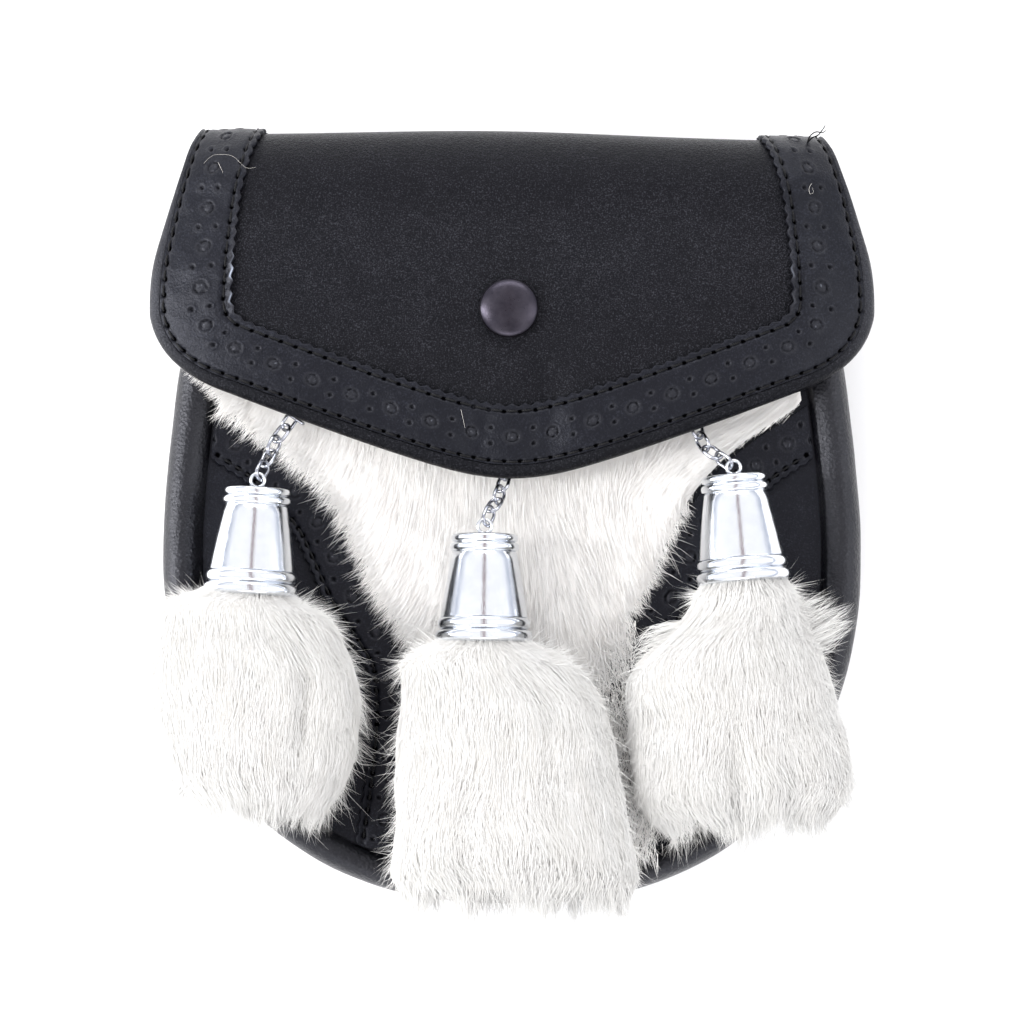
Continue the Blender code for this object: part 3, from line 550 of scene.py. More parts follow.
class Graph:
    """The nodes of a material or of the world, written from left to right."""

    def __init__(self, owner, shader="Principled BSDF", coordinates="Object"):
        owner.use_nodes = True
        self.owner = owner
        self.tree = owner.node_tree
        self.shader = self.tree.nodes[shader]
        self.place = self.add("ShaderNodeTexCoord", {}).outputs[coordinates]

    def put(self, socket, value):
        """Links an input to an output, or gives it a plain value."""
        if isinstance(value, bpy.types.NodeSocket):
            self.tree.links.new(value, socket)
        else:
            socket.default_value = value

    def add(self, kind, inputs, **settings):
        node = self.tree.nodes.new(kind)
        for key, value in settings.items():
            setattr(node, key, value)
        for key, value in inputs.items():
            self.put(node.inputs[key], value)
        return node

    def set(self, **values):
        """Plain or linked values of the shader, such as Base_Color=colour."""
        for key, value in values.items():
            self.put(self.shader.inputs[key.replace("_", " ")], value)

    def attribute(self, name):
        return self.add("ShaderNodeAttribute", {}, attribute_name=name).outputs["Fac"]

    def coordinate(self, axis):
        return self.add("ShaderNodeSeparateXYZ", {"Vector": self.place}).outputs[axis]

    def stretched(self, scale):
        """The place, scaled by a vector."""
        inputs = {"Vector": self.place, "Scale": scale}
        return self.add("ShaderNodeMapping", inputs).outputs["Vector"]

    def noise(self, size, detail, roughness=0.5, where=None):
        return self.add("ShaderNodeTexNoise", {
            "Vector": where or self.place, "Scale": 1 / size, "Detail": detail,
            "Roughness": roughness}).outputs["Fac"]

    def cells(self, size):
        inputs = {"Vector": self.place, "Scale": 1 / size}
        return self.add("ShaderNodeTexVoronoi", inputs).outputs["Distance"]

    def ranged(self, value, low, high, to_low=0.0, to_high=1.0, kind="LINEAR"):
        return self.add("ShaderNodeMapRange", {
            "Value": value, "From Min": low, "From Max": high, "To Min": to_low,
            "To Max": to_high}, interpolation_type=kind).outputs["Result"]

    def maths(self, operation, *values):
        inputs = dict(enumerate(values))
        return self.add("ShaderNodeMath", inputs, operation=operation).outputs[0]

    def mixed(self, share, first, second):
        """The first colour, with this share of the second."""
        inputs = {"Factor": share, "A": first, "B": second}
        return self.add("ShaderNodeMix", inputs, data_type="RGBA").outputs["Result"]

    def colours(self, value, *stops):
        """A colour ramp with (position, colour) stops."""
        node = self.add("ShaderNodeValToRGB", {"Fac": value})
        elements = node.color_ramp.elements
        while len(elements) < len(stops):
            elements.new(0.5)
        for element, (position, colour) in zip(elements, stops):
            element.position = position
            element.color = (*colour, 1.0)
        return node.outputs["Color"]

    def clouded(self, dark, light, size, detail=3.0, roughness=0.5):
        """A colour that wanders between two."""
        wandering = self.noise(size, detail, roughness)
        return self.colours(wandering, (0.3, dark), (0.7, light))

    def uneven(self, low, high, size, detail=4.0):
        """A roughness that wanders between two values."""
        return self.ranged(self.noise(size, detail, 0.7), 0.3, 0.7, low, high)

    def bumped(self, height, depth, before=None):
        """A bump of this depth on top of an earlier one."""
        inputs = {"Strength": 1.0, "Distance": depth, "Height": height}
        if before:
            inputs["Normal"] = before
        return self.add("ShaderNodeBump", inputs).outputs["Normal"]

    def hide(self, swells, pebbles, pores, swell_detail=3.0):
        """The relief of leather, from the (size, depth) of its swells and its grain."""
        normal = self.bumped(self.noise(swells[0], swell_detail), swells[1])
        normal = self.bumped(self.cells(pebbles[0]), pebbles[1], normal)
        return self.bumped(self.noise(pores[0], 3.0, 0.7), pores[1], normal)


def material(name):
    return Graph(bpy.data.materials.new(name))


def speckled(g, ground, painted_glint, size, spread=0.06):
    """Leather's colour, with fine light specks painted into it as the glints of its grain
    (painted highlights), fewer of them at the fold and low down, where it is darker."""
    total = g.noise(size, 1.0, 0.8)
    height = g.coordinate("Y")
    # the specks are painted highlights; the last two terms paint fewer at the fold and
    # darker shade low down
    for more in (g.ranged(g.noise(0.009, 3.0, 0.5), 0.3, 0.7, -spread, spread),
                 g.ranged(height, 0.076, 0.092, 0.0, -0.05),
                 g.ranged(height, 0.025, 0.065, -0.055, 0.0)):
        total = g.maths("ADD", total, more)
    between = tuple(0.75 * dark + 0.25 * light for dark, light in zip(ground, painted_glint))
    return g.colours(total, (0.46, ground), (0.56, between), (0.74, painted_glint))


def grained_leather():
    """Black hide with a fine pebble grain and a speckled shine, its glints painted into
    its colour.
    """
    g = material("grained_leather")
    g.set(Base_Color=speckled(g, (0.0008, 0.0008, 0.0014), (0.029, 0.029, 0.035),
                              0.00038, 0.025),
          Roughness=g.uneven(0.30, 0.46, 0.0011),
          Normal=g.hide((0.011, 0.0003), (0.00070, 0.00012), (0.00034, 0.00017), 2.0),
          Specular_IOR_Level=g.ranged(g.attribute("edge"), 0.0, 1.0, 0.12, 0.42),
          Specular_Tint=(0.86, 0.88, 1.0, 1.0))
    return g.owner


def smooth_leather():
    """The smoother, bluish hide of the brogued borders, dark in its holes and grooves
    (painted shade, with no shine there), lighter where it is worn inside its punched
    rings, and with painted glints on the rings' lips, beside its dots and stitches and
    along its raised teeth."""
    g = material("smooth_leather")
    wear_and_glint_share, hole_shade = g.attribute("wear_and_glint"), g.attribute("hole_shade")
    plain = speckled(g, (0.0020, 0.0022, 0.0040), (0.013, 0.014, 0.020), 0.00050)
    # a lighter, bluish colour for wear and for painted glints
    lightening = g.colours(wear_and_glint_share, (0.3, (0.050, 0.050, 0.056)), (1.0, (0.30, 0.33, 0.40)))
    wear_and_glint = g.mixed(wear_and_glint_share, plain, lightening)
    # holes and grooves are painted near black and lose their shine: painted shade
    g.set(Base_Color=g.mixed(hole_shade, wear_and_glint, (0.0006, 0.0005, 0.0005, 1.0)),
          Roughness=g.uneven(0.30, 0.44, 0.0014),
          Normal=g.hide((0.005, 0.0003), (0.00055, 0.00005), (0.00030, 0.00006)),
          Specular_IOR_Level=g.ranged(hole_shade, 0.0, 0.8, 0.22, 0.0),
          Specular_Tint=(0.86, 0.88, 1.0, 1.0))
    return g.owner


def rolled_leather():
    """The body's leather, drawn tight over the rim, with a soft pebble grain."""
    g = material("rolled_leather")
    g.set(Base_Color=speckled(g, (0.0012, 0.0012, 0.0022), (0.015, 0.015, 0.020),
                              0.00045),
          Roughness=g.uneven(0.30, 0.42, 0.0016),
          Normal=g.hide((0.009, 0.0005), (0.00085, 0.00012), (0.00040, 0.00009)),
          Specular_IOR_Level=0.42,
          Specular_Tint=(0.90, 0.91, 1.0, 1.0))
    return g.owner


def chrome():
    g = material("chrome")
    drawn = g.noise(0.0010, 4.0, 0.7, where=g.stretched((1.0, 0.12, 1.0)))
    g.set(Base_Color=g.clouded((0.70, 0.72, 0.76), (0.76, 0.78, 0.81), 0.004),
          Roughness=g.ranged(drawn, 0.3, 0.7, 0.09, 0.20),
          Normal=g.bumped(drawn, 0.000030),
          Metallic=1.0)
    return g.owner


def steel():
    """The chains' plating, darker than the cones'."""
    g = material("steel")
    g.set(Base_Color=g.clouded((0.30, 0.31, 0.35), (0.50, 0.51, 0.55), 0.0016),
          Roughness=g.uneven(0.10, 0.22, 0.0006, 3.0),
          Metallic=1.0)
    return g.owner


def gunmetal():
    g = material("gunmetal")
    g.set(Base_Color=g.clouded((0.033, 0.030, 0.040), (0.055, 0.050, 0.063),
                               0.0035, 4.0, 0.6),
          Roughness=g.uneven(0.26, 0.40, 0.0007),
          Normal=g.bumped(g.noise(0.0004, 3.0, 0.7), 0.000010),
          Metallic=1.0)
    return g.owner


def fur(name, dark, light):
    """Fur that is a little darker and warmer at its roots and in streaks, and darker
    still in the soft masses under its hair, where the low tone is painted shade.
    """
    g = material(name)
    streak = g.noise(0.005, 3.0, 0.6, where=g.stretched((1.0, 0.25, 1.0)))
    tone = g.maths("MULTIPLY", g.ranged(streak, 0.30, 0.60, 0.82, 1.0),
                   g.attribute("tone"))
    g.set(Base_Color=g.colours(tone, (0.15, dark), (0.85, light)),
          Roughness=g.ranged(streak, 0.3, 0.7, 0.55, 0.75),
          Specular_IOR_Level=0.2,
          Sheen_Weight=0.1,
          Sheen_Roughness=0.4)
    return g.owner


def thread():
    g = material("thread")
    twist = g.add("ShaderNodeTexWave", {"Scale": 900.0, "Vector": g.place},
                  bands_direction="DIAGONAL")
    g.set(Base_Color=g.clouded((0.0015, 0.0015, 0.002), (0.006, 0.006, 0.007), 0.0012),
          Normal=g.bumped(twist.outputs["Fac"], 0.00006),
          Roughness=0.5,
          Specular_IOR_Level=0.2)
    return g.owner


def pale_floor():
    g = material("pale_floor")
    g.set(Base_Color=g.clouded((0.96, 0.96, 0.96), (0.98, 0.98, 0.98), 0.4, 2.0),
          Roughness=0.9,
          Specular_IOR_Level=0.1)
    return g.owner


LOOKS = {
    "grained": grained_leather(),
    "smooth": smooth_leather(),
    "rolled": rolled_leather(),
    "chrome": chrome(),
    "steel": steel(),
    "gunmetal": gunmetal(),
    "panel_fur": fur("panel_fur", (0.86, 0.81, 0.75), (0.965, 0.955, 0.935)),
    "tassel_fur": fur("tassel_fur", (0.605, 0.583, 0.54), (0.732, 0.726, 0.708)),
    "thread": thread(),
}


# ---------------------------------------------------------------- the body


def crest(y):
    """Height of the rim's crest."""
    return MOUTH_DEPTH + DEPTH_SLOPE * (MOUTH_Y - y)


def panel_z(y):
    """Height of the front panel's face."""
    return crest(y) - RECESS


def on_front(x, y, height):
    return np.stack(np.broadcast_arrays(x, y, panel_z(y) + height), axis=-1)


def half_outline(side_stations=26, curve_stations=64):
    """Points of the pouch's right half, from the mouth to the bottom."""
    y = np.linspace(MOUTH_Y, WIDEST_Y, side_stations, endpoint=False)
    rise = (y - WIDEST_Y) / (MOUTH_Y - WIDEST_Y)
    side = BODY_HALF_WIDTH - (BODY_HALF_WIDTH - MOUTH_HALF_WIDTH) * rise**NARROWING
    turn = np.linspace(0.0, math.pi / 2, curve_stations)
    power = 2 / BODY_ROUNDNESS
    across = BODY_HALF_WIDTH * np.clip(np.cos(turn), 0, 1) ** power
    across[-1] = 0.0
    down = WIDEST_Y - BODY_DROP * np.sin(turn) ** power
    return np.stack([np.append(side, across), np.append(y, down)], axis=1)


def outline():
    """The whole outline, from the left of the mouth round to its right, and the inward
    way at each point."""
    right = half_outline()
    points = np.concatenate([right * (-1, 1), right[-2::-1]])
    along = unit(np.gradient(points, axis=0))
    inward = np.stack([-along[:, 1], along[:, 0]], axis=1)
    return points, inward


OUTLINE, INWARD = outline()


def rim_width(y):
    low = np.clip((WIDEST_Y - y) / BODY_DROP, 0.0, 1.0)
    return RIM_WIDTH + (RIM_WIDTH_BOTTOM - RIM_WIDTH) * low**2


RIM_INNER = OUTLINE + INWARD * rim_width(OUTLINE[:, 1])[:, None]


def rim_inner_x(y):
    right = RIM_INNER[RIM_INNER[:, 0] > 0]
    order = np.argsort(right[:, 1])
    return np.interp(y, right[order, 1], right[order, 0])


def near_rim(x, y, reach):
    """Whether a place lies on the rim or within reach of it."""
    return np.abs(x) > rim_inner_x(y) - reach


# (distance from the outline, height) of the gusset's foot, from its turn-in outwards
RIM_FOOT = [(FLANGE, 0.0), (0.0060, 0.0), (0.0036, 0.00010), (0.0020, 0.00060),
            (0.0008, 0.0017), (0.0001, 0.0034), (0.0, 0.0048)]

# (share of the rim's width, depth below its crest) down to its inner edge
RIM_FALL = [(0.56, 0.00008), (0.66, 0.00028), (0.74, 0.00060), (0.80, 0.00100),
            (0.85, 0.00145), (0.89, 0.00190), (0.93, 0.00245), (0.965, 0.00300),
            (0.985, 0.0033)]


def rim_profile(y, top_steps=12):
    """The gusset's outer face at each station: distances from the outline, heights."""
    top = crest(y)[:, None]
    width = rim_width(y)[:, None]
    one = np.ones_like(top)
    distance = [d * one for d, _ in RIM_FOOT]
    height = [z * one for _, z in RIM_FOOT]
    wall_z = RIM_FOOT[-1][1]
    for share in (0.2, 0.4, 0.6, 0.8):
        distance.append(0.0 * one)
        height.append(wall_z + (top - RIM_ROUND - wall_z) * share)
    for turn in np.linspace(0.0, math.pi / 2, top_steps):
        distance.append(RIM_ROUND_SHARE * width * (1 - math.cos(turn)))
        height.append(top - RIM_ROUND * (1 - math.sin(turn)))
    # The ridge shows on the right side and fades out towards the bottom
    right = (OUTLINE[:, :1] > 0) * ramp(OUTLINE[:, 1:], -0.045, -0.02)
    for share, sunk in RIM_FALL:
        ridge = RIM_RIDGE * bump(share - 0.86, 0.055) * right
        distance.append(share * width)
        height.append(top - sunk + ridge)
    distance.append(width)
    height.append(top - RECESS + GAP)
    return np.concatenate(distance, axis=1), np.concatenate(height, axis=1)


def make_gusset():
    distance, height = rim_profile(OUTLINE[:, 1])
    spots = OUTLINE[:, None] + INWARD[:, None] * distance[..., None]
    outer = np.concatenate([spots, height[..., None]], axis=2)
    normals = normals_of(outer)
    along = lengths_along(OUTLINE)[:, None]
    # Neither the foot, which lies on the floor, nor the rim's inner side sways
    free = ramp(outer[..., 2], 0.002, 0.012) * (1 - ramp(distance, 0.006, 0.0075))
    sway = waves(along, outer[..., 2] * 1.6, 0.024, 4) * BODY_WAVES * free
    inner = outer - normals * LEATHER
    outer = outer + normals * sway[..., None]
    mesh = mesh_of(*slab(outer, every(inner, 3)), sharp=65)
    object_from("gusset_leather", mesh, LOOKS["rolled"], ["gusset"])


# ---------------------------------------------------------------- brogueing


def brogued(along, across, line, seams, pitch):
    """How deep a punched band is pressed in at places along and across it, how much
    painted shade each gets in its holes and grooves, and how much wear and painted glint.

    line is the line of rings and seams are (along the seam, its line, stitch pitch).
    """
    phase = along / pitch
    number = np.round(phase)
    line = line + RING_STRAY * np.sin(number * 12.7)
    rough = waves(along, across, CRUSH_SIZE, 13)
    to_ring = np.hypot((phase - number) * pitch, across - line)
    to_dot = np.hypot((phase - np.floor(phase) - 0.5) * pitch,
                      np.abs(across - line) - DOT_SPREAD)
    ring = bump(to_ring - RING_RADIUS, RING_LINE) * (0.70 + 0.7 * rough)
    lip = bump(to_ring - RING_RADIUS - LIP_OFF, LIP_LINE)
    dot = np.exp(-((to_dot / DOT_RADIUS) ** 4))
    within = bump(to_ring, RING_INSIDE)
    dot_lip = bump(to_dot - DOT_LIP_RADIUS, DOT_LIP_LINE)
    depth = RING_DEPTH * (ring - LIP_SHARE * lip) + RING_CRUSH * within * rough
    depth += DOT_DEPTH * (dot - DOT_LIP_SHARE * dot_lip)
    # painted shade in the dots and in the rings' grooves
    hole_shade = 0.55 * dot + 0.45 * ring
    # wear inside the rings, in rough specks, and painted highlights on the rings' lips
    # and beside the dots
    wear_and_glint = within * (0.20 + 0.55 * np.clip(rough, 0, 1) ** 2) + 0.13 * lip
    wear_and_glint += 0.25 * bump(to_dot - 0.0008, 0.0002)
    for seam_along, seam, stitch_pitch in seams:
        off = across - seam
        step = seam_along / stitch_pitch
        away = (step - np.floor(step) - 0.5) * stitch_pitch
        pit = np.exp(-((np.hypot(away * 0.85, off) / HOLE_RADIUS) ** 4))
        depth += GROOVE_DEPTH * bump(off, GROOVE_WIDTH) + HOLE_DEPTH * pit
        # painted shade in the stitch holes and along the groove, and a painted glint
        # beside each hole
        hole_shade += 1.6 * pit + 0.25 * bump(off, 0.00030)
        wear_and_glint += 0.35 * bump(np.hypot(away - 0.0010, off - 0.0003), 0.00035)
    return depth, np.clip(hole_shade, 0, 1), np.clip(wear_and_glint, 0, 1)


def teeth(along):
    """The pinked edge: 0 at a tooth's tip, 1 in the notch."""
    phase = along / PINKING_PITCH
    return np.abs(phase - np.round(phase)) * 2


def seam_along(grid, column):
    """Lengths along one column of a grid, measured from its middle row."""
    length = lengths_along(grid[:, column])
    return (length - length[len(length) // 2])[:, None]


def stitches(line, normals, pitch):
    """Thread that shows between the holes of a seam along a line of points."""
    length = lengths_along(line)
    middle = length[len(length) // 2]
    first = math.ceil((length[0] - middle) / pitch + 0.5)
    last = math.floor((length[-1] - middle) / pitch - 0.5)
    parts = []
    for k in range(first, last + 1):
        places = middle + pitch * (k + np.linspace(-0.36, 0.36, 7))
        path = read_at(places, length, line)
        up = unit(read_at(places, length, normals))
        arch = np.cos(np.linspace(-1.35, 1.35, 7))
        path += up * (STITCH_RADIUS * (1.30 * arch - 1.75))[:, None]
        parts.append(tube(path, STITCH_RADIUS, 6, taper=0.55 + 0.45 * arch))
    return parts


# ---------------------------------------------------------------- the flap


def flap_low(x):
    """The flap's lower edge before its corners are rounded."""
    return FLAP_TIP_Y + np.hypot(FLAP_SLOPE * x, FLAP_TIP_BLUNTNESS) - FLAP_TIP_BLUNTNESS


def flap_low_inset(x, inset):
    """The lower edge moved up by an inset, which is less there across the border."""
    slope = FLAP_SLOPE**2 * x / np.hypot(FLAP_SLOPE * x, FLAP_TIP_BLUNTNESS)
    past = max(inset - FLAP_EDGE, 0.0) * BORDER_FOOT / BORDER_WIDTH
    return flap_low(x) + (min(inset, FLAP_EDGE) + past) * np.hypot(1.0, slope)


def flap_z(x, y):
    """Height of the flap's face, with its droop, the dent beside the press stud and the
    hollow that the stud pulls."""
    height = FLAP_HEIGHT + (FLAP_HEIGHT_AT_FOLD - FLAP_HEIGHT) * ramp(
        y, FLAP_LEVEL_BELOW, MOUTH_Y)
    droop = FLAP_DROOP * np.abs(x / smooth(FLAP_SIDE, y)) ** DROOP_POWER
    z = panel_z(y) + height - droop
    for dent in FLAP_DENTS:
        fade = ramp(dent.top_y - y, 0.0, DENT_FADES)
        z = z - dent.depth * bump(x - dent.x, dent.width) * fade
    pulled = STUD_PULL * bump(np.hypot(x - SNAP_AT[0], y - SNAP_AT[1]), 0.0105)
    uneven = FLAP_WAVES * waves(x, y, 0.045, 11) * (1 - np.abs(x / 0.1) ** 2)
    return z - pulled + uneven


def fold_half_width(turns):
    """Half width of the fold, at turns from its top towards the front."""
    top = smooth(FLAP_SIDE, MOUTH_Y + FOLD_RISE)
    behind = top + (TAIL_HALF_WIDTH - top) * (turns / (math.pi / 2)) ** 2
    front = smooth(FLAP_SIDE, MOUTH_Y + FOLD_RISE * np.cos(turns))
    return np.where(turns < 0, behind, front)


def fold_z(x, turns):
    """Height of the fold's face. The front's slope runs on into it."""
    slope = DEPTH_SLOPE * FOLD_RISE * np.cos(turns) * np.clip(np.sin(turns), 0, 1) ** 2
    across = x * smooth(FLAP_SIDE, MOUTH_Y) / fold_half_width(turns)
    return flap_z(across, MOUTH_Y) / 2 * (1 + np.sin(turns)) - slope


def fold_swayed(grid):
    """The flap's points with the fold's bulge in its middle and its slant."""
    x, y = grid[..., 0], grid[..., 1]
    bulge = FOLD_BULGE * bump(x - FOLD_BULGE_X, FOLD_BULGE_WIDTH) + FOLD_LIFT
    bulge = bulge - FOLD_SLANT * x
    grid[..., 1] += bulge * np.clip((y - MOUTH_Y) / FOLD_RISE, 0.0, 1.0)
    return grid


def pinched(inset, y):
    """An inset from the flap's side, drawn together towards the fold."""
    near = ramp(y, 0.060, 0.092)
    edge = min(inset, FLAP_EDGE) * (1 - EDGE_PINCH * near)
    return edge + max(inset - FLAP_EDGE, 0.0) * (1 - BAND_PINCH * near)


Counts = namedtuple("Counts", "fold side corner low")

FLAP_COUNTS = Counts(34, 30, 22, 70)
BORDER_COUNTS = Counts(96, 74, 58, 214)
BEAD_GROWS = 14, 20             # the flap's rows over which its rolled edge grows


def flap_edge_line(inset, counts, first_turn):
    """The flap's left edge, drawn in by an inset: points from the turn round the fold
    where it starts, down the side, round the corner and along to the middle."""
    turns = np.radians(np.linspace(first_turn, 90.0, counts.fold, endpoint=False))
    y = MOUTH_Y + FOLD_RISE * np.cos(turns)
    half = fold_half_width(turns)
    half = half - pinched(inset, np.where(turns < 0, MOUTH_Y + FOLD_RISE, y))
    fold = np.stack([half, y, fold_z(half, turns)], axis=1)

    corner_y = FLAP_CORNER_Y
    for _ in range(12):         # each round comes closer to where the two edges meet
        corner_x = smooth(FLAP_SIDE, corner_y) - inset
        corner_y = flap_low_inset(corner_x, inset)
    keep = max(1 - inset / FLAP_CORNER_FADES, 0.0)
    up = CORNER_RUN_LEAST + (CORNER_RUN_UP - CORNER_RUN_LEAST) * keep
    along = CORNER_RUN_LEAST + (CORNER_RUN_IN - CORNER_RUN_LEAST) * keep
    side_y = np.linspace(MOUTH_Y, corner_y + up, counts.side, endpoint=False)
    side_x = smooth(FLAP_SIDE, side_y) - pinched(inset, side_y)
    start = np.array([smooth(FLAP_SIDE, corner_y + up) - inset, corner_y + up])
    end = np.array([corner_x - along, flap_low_inset(corner_x - along, inset)])
    t = np.linspace(0.0, 1.0, counts.corner, endpoint=False)[:, None]
    bend = (1 - t) ** 2 * start + 2 * t * (1 - t) * (corner_x, corner_y) + t * t * end
    low_x = np.linspace(end[0], 0.0, counts.low)
    x = np.concatenate([side_x, bend[:, 0], low_x])
    y = np.concatenate([side_y, bend[:, 1], flap_low_inset(low_x, inset)])
    front = np.stack([x, y, flap_z(x, y)], axis=1)
    line = np.concatenate([fold, front])
    line[:, 0] *= -1
    return line


def mirror_rows(grid):
    """The grid of the left side, carried on over the middle to the right."""
    return np.concatenate([grid, grid[-2::-1] * (-1, 1, 1)])


BEAD = [
    # inset, height over the flap's face: the rolled edge, from its outermost line in
    (0.0, -0.0009),
    (0.00010, -0.0002),
    (0.0004, 0.00055),
    (0.0009, 0.00110),
    (0.0015, 0.00142),
    (0.0021, 0.00148),
    (0.0027, 0.00138),
    (0.0031, 0.00118),
    (0.00333, 0.00095),
    (0.00338, 0.0001),
    (0.0044, 0.0),
    (0.0070, 0.0),
    (0.0110, 0.0),
    (0.0150, 0.0),
]


def make_flap():
    counts = FLAP_COUNTS
    edges = np.stack([flap_edge_line(inset, counts, FOLD_STARTS) for inset, _ in BEAD],
                     axis=1)
    inside = np.linspace(0.0, 1.0, 64)[1:-1, None]
    left_end = edges[:, -1:]
    right_end = left_end * (-1, 1, 1)
    x = left_end[..., 0] + (right_end - left_end)[..., 0] * inside.T
    y = np.broadcast_to(left_end[..., 1], x.shape).copy()
    z = np.where(np.arange(len(x))[:, None] < counts.fold, 0.0, flap_z(x, y))
    turns = np.radians(np.linspace(FOLD_STARTS, 90.0, counts.fold, endpoint=False))
    turns = turns[:, None]
    z[: counts.fold] = fold_z(x[: counts.fold], turns)
    middle = np.stack([x, y, z], axis=2)
    grid = np.concatenate([edges, middle, edges[:, ::-1] * (-1, 1, 1)], axis=1)

    tail = []
    for tail_y in np.linspace(TAIL_END_Y, MOUTH_Y, 8):
        row = grid[0].copy()
        row[:, 1] = tail_y
        row[:, 2] = 0.0
        row[:, 0] *= TAIL_HALF_WIDTH / np.abs(row[:, 0]).max()
        tail.append(row)
    grid = fold_swayed(np.concatenate([np.array(tail), grid]))

    normals = normals_of(grid)
    normals[-1] = normals[-2] * (0, 1, 1)
    normals = unit(normals)
    lift = np.zeros(grid.shape[:2])
    heights = np.array([height for _, height in BEAD])
    count = len(heights)
    wrapped = ramp(np.arange(len(grid)), *BEAD_GROWS)[:, None]
    lift[:, :count] = heights * wrapped
    lift[:, -count:] = heights[::-1] * wrapped
    outer = grid + normals * lift[..., None]
    inner = grid - normals * LEATHER
    outer[..., 2] = np.maximum(outer[..., 2], 0.0)
    inner = np.concatenate([inner[:, 2:3], inner[:, count:-count:3], inner[:, -3:-2]],
                           axis=1)
    mesh = mesh_of(*slab(outer, inner, open_end=True), sharp=70)
    mark(mesh, "edge", (np.abs(lift) > 0) * ramp(grid[..., 1], 0.036, 0.056))
    merge_doubled(mesh)
    object_from("flap_leather", mesh, LOOKS["grained"], ["flap"])


def make_border():
    """The brogued band round the flap and its two seams."""
    counts = BORDER_COUNTS
    insets = np.linspace(FLAP_EDGE, FLAP_EDGE + BORDER_WIDTH, 49)
    left = np.stack([flap_edge_line(d, counts, BORDER_STARTS) for d in insets], axis=1)
    base = fold_swayed(mirror_rows(left))
    normals = normals_of(base)
    across = np.broadcast_to(insets - FLAP_EDGE, base.shape[:2])
    middle = np.argmin(np.abs(insets - FLAP_EDGE - BROGUE_LINE))
    outer_column = np.argmin(np.abs(insets - FLAP_EDGE - STITCH_OUTER))
    inner_column = np.argmin(np.abs(insets - FLAP_EDGE - STITCH_INNER))
    seams = [
        (seam_along(base, outer_column), STITCH_OUTER, STITCH_PITCH),
        (seam_along(base, inner_column), STITCH_INNER, STITCH_PITCH),
    ]
    y = base[:, middle, 1][:, None]
    line = BROGUE_LINE + BROGUE_STRAYS * ramp(y, 0.034, 0.052) * ramp(0.092 - y, 0, 0.02)
    depth, hole_shade, wear_and_glint = brogued(seam_along(base, middle), across, line, seams,
                                BROGUE_PITCH)
    pull = teeth(seam_along(base, -1)) * PINKING_DEPTH
    pull = pull * ramp(across, STITCH_INNER, BORDER_WIDTH)
    inward = unit(np.gradient(base, axis=1))
    edge = 0.00018 * bump(across, 0.0004)
    edge = edge + 0.00020 * bump(across - BORDER_WIDTH, CUT_EDGE)
    # The teeth stand up at the flap's sides, and a painted highlight along them is
    # strongest on its left
    upright = ramp(y, 0.044, 0.054) * ramp(0.090 - y, 0, 0.03)
    fade = ramp(across, STITCH_INNER + 0.0006, BORDER_WIDTH)
    standing = PINKING_STANDS * fade * upright
    # painted glints, uneven along the edge and up to twice as strong on the flap's left
    painted_glint = 0.5 + 0.5 * waves(base[..., 1], across, 0.006, 14)
    lightening = 0.9 + 0.9 * (base[..., 0] < 0) * bump(base[..., 1] - 0.061, 0.009)
    edge_line = ramp(across, BORDER_WIDTH - 0.0010, BORDER_WIDTH)
    wear_and_glint = wear_and_glint + lightening * painted_glint * upright * edge_line
    puffed = BORDER_PUFF * waves(base[..., 0], base[..., 1], 0.0085, 12)
    puffed = puffed * ramp(across, STITCH_OUTER, 0.004)
    puffed = puffed * ramp(STITCH_INNER - across, 0, 0.003)
    thick = np.maximum(BORDER_THICKNESS - depth - edge + standing + puffed, THINNEST)
    outer = base + normals * (GAP + thick)[..., None] - inward * pull[..., None]
    inner = base + normals * GAP - inward * pull[..., None]
    mesh = mesh_of(*slab(outer, every(inner, 9)), sharp=60)
    # painted shade in holes, and wear with painted glints, for the material to read
    mark(mesh, "hole_shade", hole_shade)
    mark(mesh, "wear_and_glint", wear_and_glint)
    object_from("flap_border_leather", mesh, LOOKS["smooth"],
                ["flap_border"])

    top = base + normals * (GAP + BORDER_THICKNESS)
    parts = []
    for column in (outer_column, inner_column):
        parts += stitches(top[:, column], normals[:, column], STITCH_PITCH)
    object_from("flap_stitches", mesh_of(*joined(parts)), LOOKS["thread"])


# ---------------------------------------------------------------- bands beside the fur


def fur_edge_line(spacing=0.0004):
    """The right edge of the fur panel, from under the flap to the foot, evenly spaced."""
    y = np.linspace(FUR_EDGE[1].y, BANDS_FOOT, 500)
    line = np.stack([smooth(FUR_EDGE, y), y], axis=1)
    length = lengths_along(line)
    places = np.arange(0.0, length[-1], spacing)
    return read_at(places, length, line)


